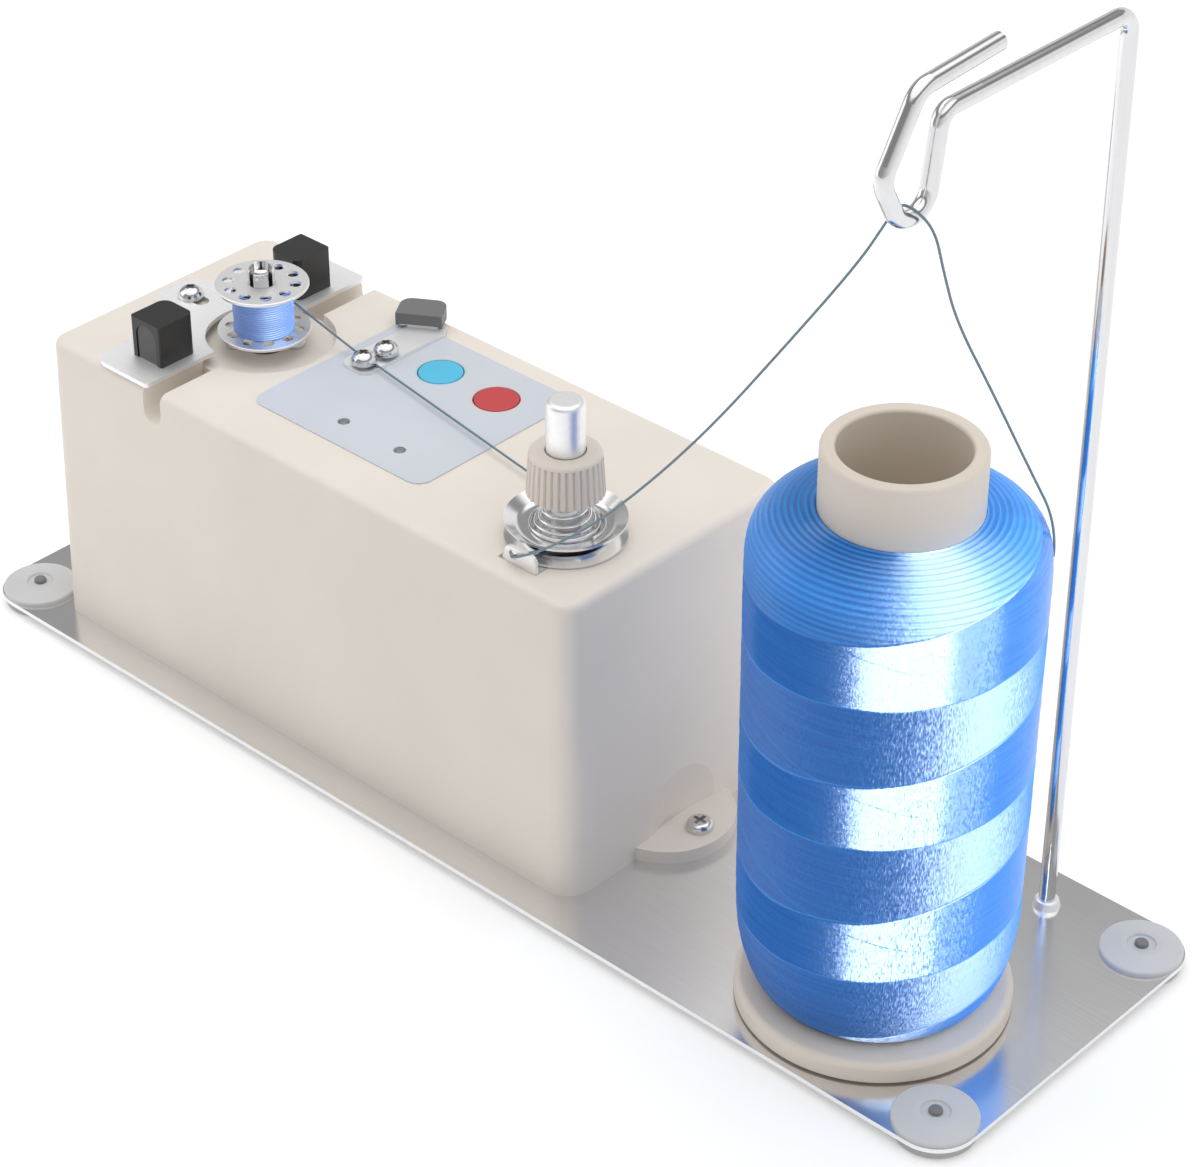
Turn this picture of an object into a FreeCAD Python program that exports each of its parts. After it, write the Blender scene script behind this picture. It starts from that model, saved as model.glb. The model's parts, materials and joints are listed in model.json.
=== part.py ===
import FreeCAD, Part
import math
import os
import Sketcher

# Bobbin winder on a steel plate: a moulded housing with a motor driven spindle,
# an optical stop on a sliding bracket, a disc tensioner, a wire mast with a
# pigtail hook and a cone of thread. Millimetres. The origin is on the table
# under the middle of the plate, +X runs from the housing to the cone,
# +Y to the back and +Z up.

doc = FreeCAD.newDocument("bobbin_winder")
sheet = doc.addObject("Spreadsheet::Sheet", "Dim")
probe = doc.addObject("App::VarSet", "Probe")
probe.addProperty("App::PropertyFloat", "Reading")
Vector = FreeCAD.Vector
nodes = []

sizes = {
    # plate and feet
    "plateLength": 280.0,
    "plateWidth": 84.0,
    "plateThick": 1.0,
    "footInset": 8.8,
    "padRadius": 8.2,
    "padHeight": 2.2,
    "capRadius": 8.5,
    "capEdge": 0.9,
    "capRise": 1.8,
    "dimpleRadius": 3.0,
    "dimpleDepth": 0.4,
    "pinRadius": 1.2,
    "pinHeadRadius": 1.4,
    "pinHeadRise": 1.0,
    "pinFootRadius": 3.0,
    "pinFootThick": 0.8,
    "pinFootLift": 0.3,
    # clearances
    "snug": 0.03,
    "run": 0.06,
    "slideGap": 0.05,
    "loose": 0.25,
    # housing
    "housingInset": 18.0,
    "housingLength": 159.6,
    "housingHalf": 34.15,
    "housingHeight": 70.3,
    "housingCorner": 6.0,
    "housingDraft": 1.416,
    "housingRound": 2.0,
    "wall": 2.4,
    "topWall": 4.2,
    "grooveShift": 0.55,
    "grooveWidth": 5.5,
    "grooveDepth": 7.8,
    "troughWall": 2.0,
    "dishRadius": 15.6,
    "dishDepth": 2.0,
    "earRadius": 14.8,
    "earReach": 4.3,
    "earThick": 3.0,
    "earScrewOut": 5.1,
    "thumbRadius": 10.4,
    "thumbDepth": 1.2,
    "thumbLift": 3.0,
    # screws
    "screwRadius": 1.4,
    "screwHeadRadius": 2.9,
    "screwHeadHeight": 2.0,
    "smallScrewRadius": 1.2,
    "smallHeadRadius": 2.3,
    "smallHeadHeight": 1.5,
    # label, buttons and lamps
    "labelInset": 54.0,
    "labelLength": 51.0,
    "labelFront": -20.4,
    "labelWidth": 46.8,
    "labelCorner": 3.5,
    "labelThick": 0.3,
    "buttonRadius": 4.9,
    "buttonInset": 11.3,
    "buttonPitch": 16.7,
    "startInset": 21.7,
    "buttonTravel": 0.45,
    "buttonProud": 0.15,
    "buttonThick": 1.0,
    "stemRadius": 3.2,
    "lampRadius": 1.3,
    "lampInset": 7.3,
    "lampStart": 21.2,
    # circuit board
    "boardInset": 4.0,
    "boardLength": 52.0,
    "boardHalf": 20.0,
    "boardDrop": 8.2,
    "boardThick": 1.6,
    "boardScrewInset": 4.0,
    "boardBite": 6.0,
    "postRadius": 2.8,
    "switchSide": 6.0,
    "switchHeight": 3.5,
    "plungerRadius": 1.2,
    "plungerLength": 1.2,
    # motor and spindle
    "bobbinInset": 36.6,
    "motorRadius": 13.85,
    "motorLength": 38.0,
    "motorWall": 1.0,
    "endCapLength": 3.0,
    "noseRadius": 4.2,
    "noseLength": 1.8,
    "motorScrewX": 4.85,
    "motorScrewY": 4.48,
    "shaftRadius": 1.15,
    "bushRadius": 3.0,
    "rotorRadius": 11.6,
    "rotorInset": 5.0,
    "hubSkirtRadius": 3.5,
    "hubFlangeRadius": 5.4,
    "hubFlangeThick": 1.3,
    "pinRise": 15.7,
    "spindleRadius": 2.95,
    "pinBore": 1.7,
    "pinSlot": 1.2,
    "pinSlotDepth": 9.0,
    # bobbin
    "bobbinRise": 2.0,
    "bobbinHeight": 11.7,
    "bobbinRadius": 10.25,
    "bobbinBore": 3.0,
    "bobbinTube": 3.6,
    "flangeThick": 0.6,
    "flangeHoles": 10.0,
    "flangeHoleRadius": 1.3,
    "flangeHoleRing": 7.4,
    "woundRadius": 6.2,
    "bobbinTurns": 9.0,
    "bobbinTurnThick": 0.55,
    # sensor bracket
    "bracketThick": 1.0,
    "bracketEdge": 2.1,
    "armReach": 19.6,
    "bracketHalf": 32.3,
    "webReach": 30.6,
    "webHalf": 7.2,
    "bracketCorner": 4.0,
    "bracketCut": 13.0,
    "slotStart": 26.6,
    "slotEnd": 19.0,
    "slotHalf": 1.75,
    "bracketScrewReach": 24.2,
    "blockShift": -0.6,
    "blockInner": 15.1,
    "blockOuter": 25.0,
    "blockStart": 13.95,
    "blockEnd": 4.7,
    "blockHeight": 9.8,
    "blockRound": 2.4,
    "windowRadius": 3.1,
    "windowHeight": 8.6,
    "windowDepth": 2.2,
    "windowLip": 0.25,
    "beamRadius": 1.6,
    "beamLength": 1.2,
    # thread cutter
    "stripInset": 3.4,
    "stripWidth": 8.2,
    "stripFront": 2.4,
    "stripLength": 27.2,
    "stripThick": 0.8,
    "guideScrewGap": 0.72,
    "guideOneIn": 4.8,
    "guideOneUp": 2.9,
    "guideTwoIn": 5.4,
    "guideTwoUp": 9.0,
    "guideHeadRadius": 2.8,
    "guideHeadHeight": 2.4,
    "guardIn": 2.0,
    "guardBack": 5.0,
    "guardTurn": 32.0,
    "guardWidth": 10.4,
    "guardDeep": 7.2,
    "guardHeight": 3.0,
    "guardRound": 2.6,
    "bladeThick": 0.4,
    # tensioner
    "tensionInset": 20.8,
    "tensionY": -12.7,
    "baseRecess": 0.8,
    "baseHalf": 4.6,
    "baseCorner": 1.4,
    "tabReach": 14.3,
    "baseReach": 7.7,
    "tabOut": 2.8,
    "tabWidth": 8.4,
    "tabThick": 0.8,
    "tabHeight": 3.9,
    "eyeIn": 2.35,
    "eyeLift": 2.1,
    "eyeRadius": 1.15,
    "discRadius": 12.45,
    "discFlat": 9.6,
    "discThick": 0.5,
    "discLift": 0.9,
    "discDrop": 0.75,
    "discRise": 2.0,
    "threadGap": 0.7,
    "bossRadius": 6.2,
    "bossShoulder": 7.6,
    "tensionPostRadius": 3.0,
    "postRise": 23.5,
    "knobRise": 10.5,
    "knobHeight": 9.6,
    "knobBottomRadius": 8.0,
    "knobTopRadius": 7.4,
    "knobRibs": 32.0,
    "ribDepth": 0.5,
    "knobSink": 2.6,
    "capNutRadius": 3.95,
    "capNutRise": 8.4,
    "capNutHeight": 12.6,
    "springWire": 0.7,
    "springFoot": 7.9,
    "springHead": 3.9,
    "springCurls": 5.0,
    "washerThick": 0.8,
    "washerRadius": 5.9,
    # mast and cone
    "mastInset": 31.3,
    "mastSide": 10.1,
    "wireRadius": 1.7,
    "mastRise": 197.3,
    "armEnd": 52.6,
    "collarRadius": 2.9,
    "collarHeight": 1.8,
    "coneInset": 40.4,
    "coneSide": 29.0,
    "coneFlange": 27.4,
    "coneFlangeThick": 4.3,
    "coneFloor": 0.5,
    "tubeOuter": 15.2,
    "tubeInner": 12.3,
    "tubeLength": 125.7,
    "woundFoot": 25.1,
    "woundBelly": 27.5,
    "woundTop": 28.0,
    "footRound": 4.5,
    "bellyRise": 15.0,
    "shoulderRise": 104.0,
    "shoulderHeight": 4.75,
    "coneTurns": 20.0,
    "turnsStart": 3.0,
    "turnsEnd": 12.0,
    "coneTurnThick": 0.55,
    "pegReach": 12.0,
    "pegFlange": 18.0,
    # laid thread
    "threadThick": 0.5,
    # power inlet
    "inletInset": 92.0,
    "inletLift": 18.0,
    "inletWidth": 9.0,
    "inletHeight": 11.0,
    "inletDeep": 13.0,
    "inletBore": 3.0,
    "inletBoreDepth": 9.0,
    "inletPin": 1.0,
}

# Places that follow from the sizes, each written once.
places = {
    "plateTop": "padHeight + plateThick",
    "plateEnd": "plateLength / 2",
    "housingTop": "plateTop + housingHeight",
    "housingLeft": "housingInset - plateEnd",
    "housingRight": "housingLeft + housingLength",
    "footX": "plateEnd - footInset",
    "footY": "plateWidth / 2 - footInset",
    "earRight": "housingRight + earScrewOut",
    "earLeft": "housingLeft - earScrewOut",
    "bobbinX": "housingLeft + bobbinInset",
    "bobbinSeat": "housingTop + bobbinRise",
    "pinTop": "bobbinSeat + pinRise",
    "grooveMiddle": "bobbinX - grooveShift",
    "motorTop": "housingTop - grooveDepth - troughWall",
    "dishFloor": "housingTop - dishDepth",
    "labelLeft": "housingLeft + labelInset",
    "labelRight": "labelLeft + labelLength",
    "labelBack": "labelFront + labelWidth",
    "startX": "labelLeft + startInset",
    "stopX": "startX + buttonPitch",
    "buttonY": "labelBack - buttonInset",
    "powerLampX": "labelLeft + lampStart",
    "runLampX": "powerLampX + buttonPitch",
    "lampY": "labelFront + lampInset",
    "boardTop": "housingTop - boardDrop",
    "boardLeft": "labelLeft + boardInset",
    "boardRight": "boardLeft + boardLength",
    "bracketRight": "bobbinX - bracketEdge",
    "armLeft": "bobbinX - armReach",
    "webLeft": "bobbinX - webReach",
    "slotLeft": "bobbinX - slotStart",
    "slotRight": "bobbinX - slotEnd",
    "bracketScrewX": "bobbinX - bracketScrewReach",
    "blockLeft": "bobbinX - blockStart",
    "blockRight": "bobbinX - blockEnd",
    "stripTop": "housingTop + labelThick + stripThick",
    "stripLeft": "labelLeft + stripInset",
    "stripRight": "stripLeft + stripWidth",
    "stripBack": "stripFront + stripLength",
    "guideOneX": "stripLeft + guideOneIn",
    "guideOneY": "stripFront + guideOneUp",
    "guideTwoX": "stripLeft + guideTwoIn",
    "guideTwoY": "stripFront + guideTwoUp",
    "guardX": "stripLeft + guardIn",
    "guardY": "stripBack - guardBack",
    "tensionX": "housingRight - tensionInset",
    "baseFront": "tensionY - tabReach",
    "baseBack": "tensionY + baseReach",
    "tabLeft": "tensionX - tabOut",
    "tabRight": "tabLeft + tabWidth",
    "eyeX": "tabLeft + eyeIn",
    "lowerFlat": "housingTop + discLift + discThick",
    "upperFlat": "lowerFlat + threadGap",
    "postTop": "housingTop + postRise",
    "knobBottom": "housingTop + knobRise",
    "knobTop": "knobBottom + knobHeight",
    "capNutBottom": "knobBottom + capNutRise",
    "mastX": "plateEnd - mastInset",
    "mastY": "plateWidth / 2 - mastSide",
    "mastHeight": "plateTop + mastRise",
    "coneX": "plateEnd - coneInset",
    "coneY": "coneSide - plateWidth / 2",
    "coneBase": "plateTop + coneFloor",
    "coneFoot": "coneBase + coneFlangeThick",
    "tubeTop": "coneBase + tubeLength",
    "bellyStart": "coneFoot + bellyRise",
    "shoulderStart": "coneFoot + shoulderRise",
    "shoulderEnd": "shoulderStart + shoulderHeight",
    "inletX": "housingLeft + inletInset",
}

for row, (alias, size) in enumerate(sizes.items(), 1):
    sheet.set("A%d" % row, alias)
    sheet.set("B%d" % row, str(size))
    sheet.setAlias("B%d" % row, alias)
doc.recompute()


def number(expression):
    """The value of an expression over the sheet, such as plateLength / 2."""
    probe.setExpression("Reading", inSheet(expression))
    probe.recompute()
    return probe.Reading


def inSheet(expression):
    """The expression with every place spelt out and every size named as a cell of the sheet."""
    words = []
    word = ""
    for letter in expression + " ":
        if letter.isalnum() or letter == ".":
            word += letter
        else:
            if word in places:
                word = "(%s)" % inSheet(places[word])
            words.append("Dim." + word if word in sizes else word)
            words.append(letter)
            word = ""
    return "".join(words).strip()


def bind(thing, prop, expression):
    thing.setExpression(prop, inSheet(str(expression)))


def newBody(label, x="0", y="0", z="0"):
    """A named piece whose own origin stands at x, y, z."""
    piece = doc.addObject("PartDesign::Body", label)
    piece.Label = label
    for axis, place in zip("xyz", (x, y, z)):
        bind(piece, "Placement.Base." + axis, place)
    return piece


def sketchOn(piece, role="XY_Plane", lift="0"):
    """A sketch on one of the piece's own origin planes, lifted along its normal."""
    sketch = piece.newObject("Sketcher::SketchObject", piece.Name + "_sketch")
    plane = [item for item in piece.Origin.OriginFeatures if item.Role == role][0]
    sketch.AttachmentSupport = (plane, [""])
    sketch.MapMode = "FlatFace"
    bind(sketch, "AttachmentOffset.Base.z", lift)
    return sketch


def constrain(sketch, rules):
    """Adds constraints and ties each one that has an expression to the sheet."""
    first = sketch.ConstraintCount
    sketch.addConstraint([rule for rule, expression in rules])
    for step, (rule, expression) in enumerate(rules):
        if expression:
            bind(sketch, "Constraints[%d]" % (first + step), expression)


def circle(sketch, x, y, radius):
    spot = Vector(number(x), number(y), 0)
    size = number(radius)
    item = sketch.addGeometry(Part.Circle(spot, Vector(0, 0, 1), size), False)
    Rule = Sketcher.Constraint
    constrain(sketch, [
        (Rule("DistanceX", -1, 1, item, 3, spot.x), x),
        (Rule("DistanceY", -1, 1, item, 3, spot.y), y),
        (Rule("Radius", item, size), radius)])


def outline(sketch, corners, closed=True):
    """Straight runs through corners (x, y) or (x, y, radius), rounded by tangent arcs."""
    count = len(corners)
    spots = [Vector(number(corner[0]), number(corner[1]), 0) for corner in corners]
    radii = [number(corner[2]) if len(corner) > 2 else 0.0 for corner in corners]
    turns = []
    cuts = []
    for i in range(count):
        before = (spots[i] - spots[i - 1]).normalize()
        after = (spots[(i + 1) % count] - spots[i]).normalize()
        turn = math.atan2(before.cross(after).z, before.dot(after))
        turns.append(turn)
        cuts.append(radii[i] * math.tan(abs(turn) / 2))
    Rule = Sketcher.Constraint
    rules = []
    lines = []
    for i in range(count if closed else count - 1):
        after = (i + 1) % count
        along = (spots[after] - spots[i]).normalize()
        segment = Part.LineSegment(spots[i] + along * cuts[i], spots[after] - along * cuts[after])
        lines.append(sketch.addGeometry(segment, False))
    for i in range(count):
        place = spots[i]
        ends = not closed and i in (0, count - 1)
        if ends:
            item = (lines[0], 1) if i == 0 else (lines[-1], 2)
        elif radii[i] == 0:
            rules.append((Rule("Coincident", lines[i - 1], 2, lines[i], 1), None))
            item = (lines[i], 1)
        else:
            item = (sketch.addGeometry(Part.Point(place), True), 1)
            rules.append((Rule("PointOnObject", item[0], 1, lines[i - 1]), None))
            rules.append((Rule("PointOnObject", item[0], 1, lines[i]), None))
            rules += corner(sketch, lines[i - 1], lines[i], place, spots[i - 1],
                            turns[i], radii[i], cuts[i], corners[i][2])
        rules.append((Rule("DistanceX", -1, 1, item[0], item[1], place.x), corners[i][0]))
        rules.append((Rule("DistanceY", -1, 1, item[0], item[1], place.y), corners[i][1]))
    constrain(sketch, rules)


def corner(sketch, arriving, leaving, place, before, turn, radius, cut, expression):
    """The arc that rounds one corner, and the rules that hold it."""
    Rule = Sketcher.Constraint
    along = (place - before).normalize()
    side = 1 if turn > 0 else -1
    inward = Vector(-along.y, along.x, 0) * side
    middle = place - along * cut + inward * radius
    start = math.atan2(-inward.y, -inward.x)
    first, last = (start, start + turn) if turn > 0 else (start + turn, start)
    ring = Part.Circle(middle, Vector(0, 0, 1), radius)
    arc = sketch.addGeometry(Part.ArcOfCircle(ring, first, last), False)
    near, far = (1, 2) if turn > 0 else (2, 1)
    return [(Rule("Tangent", arriving, 2, arc, near), None),
            (Rule("Tangent", arc, far, leaving, 1), None),
            (Rule("Radius", arc, radius), expression)]


def rectangle(sketch, left, front, right, back, radius=None):
    spots = [(left, front), (right, front), (right, back), (left, back)]
    outline(sketch, [spot + (radius,) if radius else spot for spot in spots])


def feature(piece, kind, sketch, length, reverse=False, middle=False, taper=None):
    item = piece.newObject("PartDesign::" + kind, piece.Name + "_" + kind.lower())
    item.Profile = sketch
    bind(item, "Length", length)
    item.Reversed = reverse
    if middle:
        item.SideType = "Symmetric"
    if taper:
        bind(item, "TaperAngle", taper)
    return item


def pad(piece, sketch, length, **how):
    return feature(piece, "Pad", sketch, length, **how)


def pocket(piece, sketch, length, **how):
    """A cut; it has to take something away."""
    doc.recompute()
    before = piece.Shape.Volume
    item = feature(piece, "Pocket", sketch, length, **how)
    doc.recompute()
    if not piece.Shape.Volume < before - 1e-6:
        raise ValueError(piece.Label + ": a pocket cuts nothing")
    return item


def turned(piece, corners, kind="Revolution"):
    """A profile of (radius, height) corners turned about the piece's own Z axis."""
    sketch = sketchOn(piece, "XZ_Plane")
    outline(sketch, corners)
    item = piece.newObject("PartDesign::" + kind, piece.Name + "_turned")
    item.Profile = sketch
    item.ReferenceAxis = (sketch, ["V_Axis"])
    item.Angle = 360
    return item


def rounded(piece, base, radius, chosen):
    """Fillets the edges of the base feature that the test picks."""
    doc.recompute()
    edges = ["Edge%d" % (i + 1) for i, edge in enumerate(base.Shape.Edges) if chosen(edge)]
    item = piece.newObject("PartDesign::Fillet", piece.Name + "_fillet")
    item.Base = (base, edges)
    bind(item, "Radius", radius)
    return item


def repeated(piece, original, sketch, count):
    item = piece.newObject("PartDesign::PolarPattern", piece.Name + "_pattern")
    item.Originals = [original]
    item.Axis = (sketch, ["N_Axis"])
    item.Angle = 360
    bind(item, "Occurrences", count)
    piece.Tip = item
    return item


def keep(*pieces):
    nodes.extend(pieces)


def group(label, pieces):
    """Several loose pieces of one kind in one node."""
    item = doc.addObject("Part::Compound", label)
    item.Label = label
    item.Links = pieces
    keep(item)
    return item


def panScrew(label, x, y, seat, head, headHeight, shank, length, dome="0.62", cross="0.55"):
    """A pan or domed head screw with its head on the seat and a cross recess."""
    piece = newBody(label, x, y, seat)
    turned(piece, [("0", "0 - (%s)" % length), (shank, "0 - (%s)" % length),
                   (shank, "0"), (head, "0"),
                   (head, headHeight, "(%s) * %s" % (headHeight, dome)), ("0", headHeight)])
    sketch = sketchOn(piece, "XY_Plane", headHeight)
    arm = "(%s) * %s" % (head, cross)
    thin = "(%s) * 0.14" % head
    signs = [(1, 0, 0, -1), (1, 0, 0, 1), (0, 1, 1, 0), (0, 1, -1, 0),
             (-1, 0, 0, 1), (-1, 0, 0, -1), (0, -1, -1, 0), (0, -1, 1, 0)]
    corners = []
    for ux, uy, vx, vy in signs:
        corners.append(("(%s) * %d + (%s) * %d" % (arm, ux, thin, vx),
                        "(%s) * %d + (%s) * %d" % (arm, uy, thin, vy)))
        if (ux, uy, vx, vy) in ((1, 0, 0, 1), (0, 1, -1, 0), (-1, 0, 0, -1), (0, -1, 1, 0)):
            corners.append(("(%s) * %d" % (thin, ux + vx), "(%s) * %d" % (thin, uy + vy)))
    outline(sketch, corners)
    pocket(piece, sketch, "(%s) * 0.5" % headHeight)
    return piece


def arcThrough(corner, start, end):
    """The arc from start to end whose end tangents meet at the corner."""
    middle = (start + end) / 2
    reach = (start - corner).Length
    fall = (middle - corner).Length
    centre = corner + (middle - corner) * (reach / fall) ** 2
    radius = (start - centre).Length
    top = centre + (corner - centre).normalize() * radius
    return Part.Arc(start, top, end).toShape(), radius


def biarc(start, heading, end, arriving):
    """Two arcs that meet smoothly between two points with given headings."""
    span = end - start
    both = heading + arriving
    across = 2 * (1 - heading.dot(arriving))
    along = span.dot(both)
    reach = (math.sqrt(along ** 2 + across * span.dot(span)) - along) / across
    first = start + heading * reach
    second = end - arriving * reach
    join = (first + second) / 2
    return [arcThrough(first, start, join)[0], arcThrough(second, join, end)[0]]


def tube(path, start, heading, radius):
    """A round tube along a wire, as one solid."""
    ring = Part.Wire([Part.Circle(start, heading, radius).toShape()])
    return path.makePipeShell([ring], True, False)


def wound(label, x, y, radiusAt, low, high, turns, thick, flat=1):
    """One unbroken tube that climbs round an axis, in quarter turns, slowly at first if flat is over 1."""
    steps = int(round(turns * 4))

    def heightAt(step):
        return low + (high - low) * (step / steps) ** flat

    def spot(step):
        angle = step * math.pi / 2
        height = heightAt(step)
        reach = radiusAt(height)
        return Vector(x + reach * math.cos(angle), y + reach * math.sin(angle), height)

    def heading(step):
        angle = step * math.pi / 2
        before = heightAt(max(0, step - 1))
        after = heightAt(min(steps, step + 1))
        span = (min(steps, step + 1) - max(0, step - 1)) * math.pi / 2
        reach = radiusAt(heightAt(step))
        grow = (radiusAt(after) - radiusAt(before)) / span
        return Vector(grow * math.cos(angle) - reach * math.sin(angle),
                      grow * math.sin(angle) + reach * math.cos(angle),
                      (after - before) / span).normalize()

    first = spot(0) - heading(0) * thick
    edges = [Part.LineSegment(first, spot(0)).toShape()]
    for step in range(steps):
        edges += biarc(spot(step), heading(step), spot(step + 1), heading(step + 1))
    edges.append(Part.LineSegment(spot(steps), spot(steps) + heading(steps) * thick).toShape())
    path = Part.Wire(edges)
    item = doc.addObject("Part::Feature", label)
    item.Shape = tube(path, first, heading(0), thick / 2)
    item.Label = label
    keep(item)
    gap = min((spot(step / 8) - spot(step / 8 + 4)).Length for step in range(8 * (steps - 4))) - thick
    ideal = math.pi * (thick / 2) ** 2 * path.Length
    print("%s: %.1f turns, least gap %.2f mm, volume %.4f of section times length"
          % (label, turns, gap, item.Shape.Volume / ideal))


def makePlate():
    piece = newBody("base_plate")
    sketch = sketchOn(piece, "XY_Plane", "padHeight")
    rectangle(sketch, "0 - plateLength / 2", "0 - plateWidth / 2",
              "plateLength / 2", "plateWidth / 2", "footInset")
    pad(piece, sketch, "plateThick")
    holes = sketchOn(piece, "XY_Plane", "plateTop")
    for sideX in ("1", "-1"):
        for sideY in ("1", "-1"):
            circle(holes, "footX * " + sideX, "footY * " + sideY, "pinRadius + run")
    circle(holes, "earRight", "0", "screwRadius + snug")
    circle(holes, "earLeft", "0", "screwRadius + snug")
    circle(holes, "mastX", "mastY", "wireRadius + snug")
    circle(holes, "coneX", "coneY", "screwRadius + snug")
    pocket(piece, holes, "plateThick * 2")
    keep(piece)


def makeFeet():
    pins = []
    corners = [("1", "1"), ("-1", "1"), ("-1", "-1"), ("1", "-1")]
    for place, (sideX, sideY) in enumerate(corners, 1):
        x = "footX * " + sideX
        y = "footY * " + sideY
        under = newBody("foot_pad_%d" % place, x, y)
        turned(under, [("pinFootRadius + run", "0"), ("padRadius - 0.4", "0"),
                       ("padRadius", "0.4"), ("padRadius", "padHeight"),
                       ("pinRadius + run", "padHeight"),
                       ("pinRadius + run", "pinFootLift + pinFootThick"),
                       ("pinFootRadius + run", "pinFootLift + pinFootThick")])
        cap = newBody("foot_cap_%d" % place, x, y, "plateTop")
        turned(cap, [("pinRadius + run", "0"), ("capRadius", "0"),
                     ("capRadius", "capEdge", "capEdge * 0.6"),
                     ("dimpleRadius + 1.2", "capRise", "2"), ("dimpleRadius", "capRise"),
                     ("dimpleRadius - 0.3", "capRise - dimpleDepth"),
                     ("pinRadius + run", "capRise - dimpleDepth")])
        keep(under, cap)
        pin = newBody("foot_pin_%d" % place, x, y)
        seat = "plateTop + capRise - dimpleDepth"
        top = seat + " + pinHeadRise"
        turned(pin, [("0", "pinFootLift"), ("pinFootRadius", "pinFootLift"),
                     ("pinFootRadius", "pinFootLift + pinFootThick"),
                     ("pinRadius", "pinFootLift + pinFootThick"), ("pinRadius", seat),
                     ("pinHeadRadius", seat), ("pinHeadRadius", top, "pinHeadRise * 0.6"),
                     ("0", top)])
        pins.append(pin)
    group("foot_pins", pins)


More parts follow.
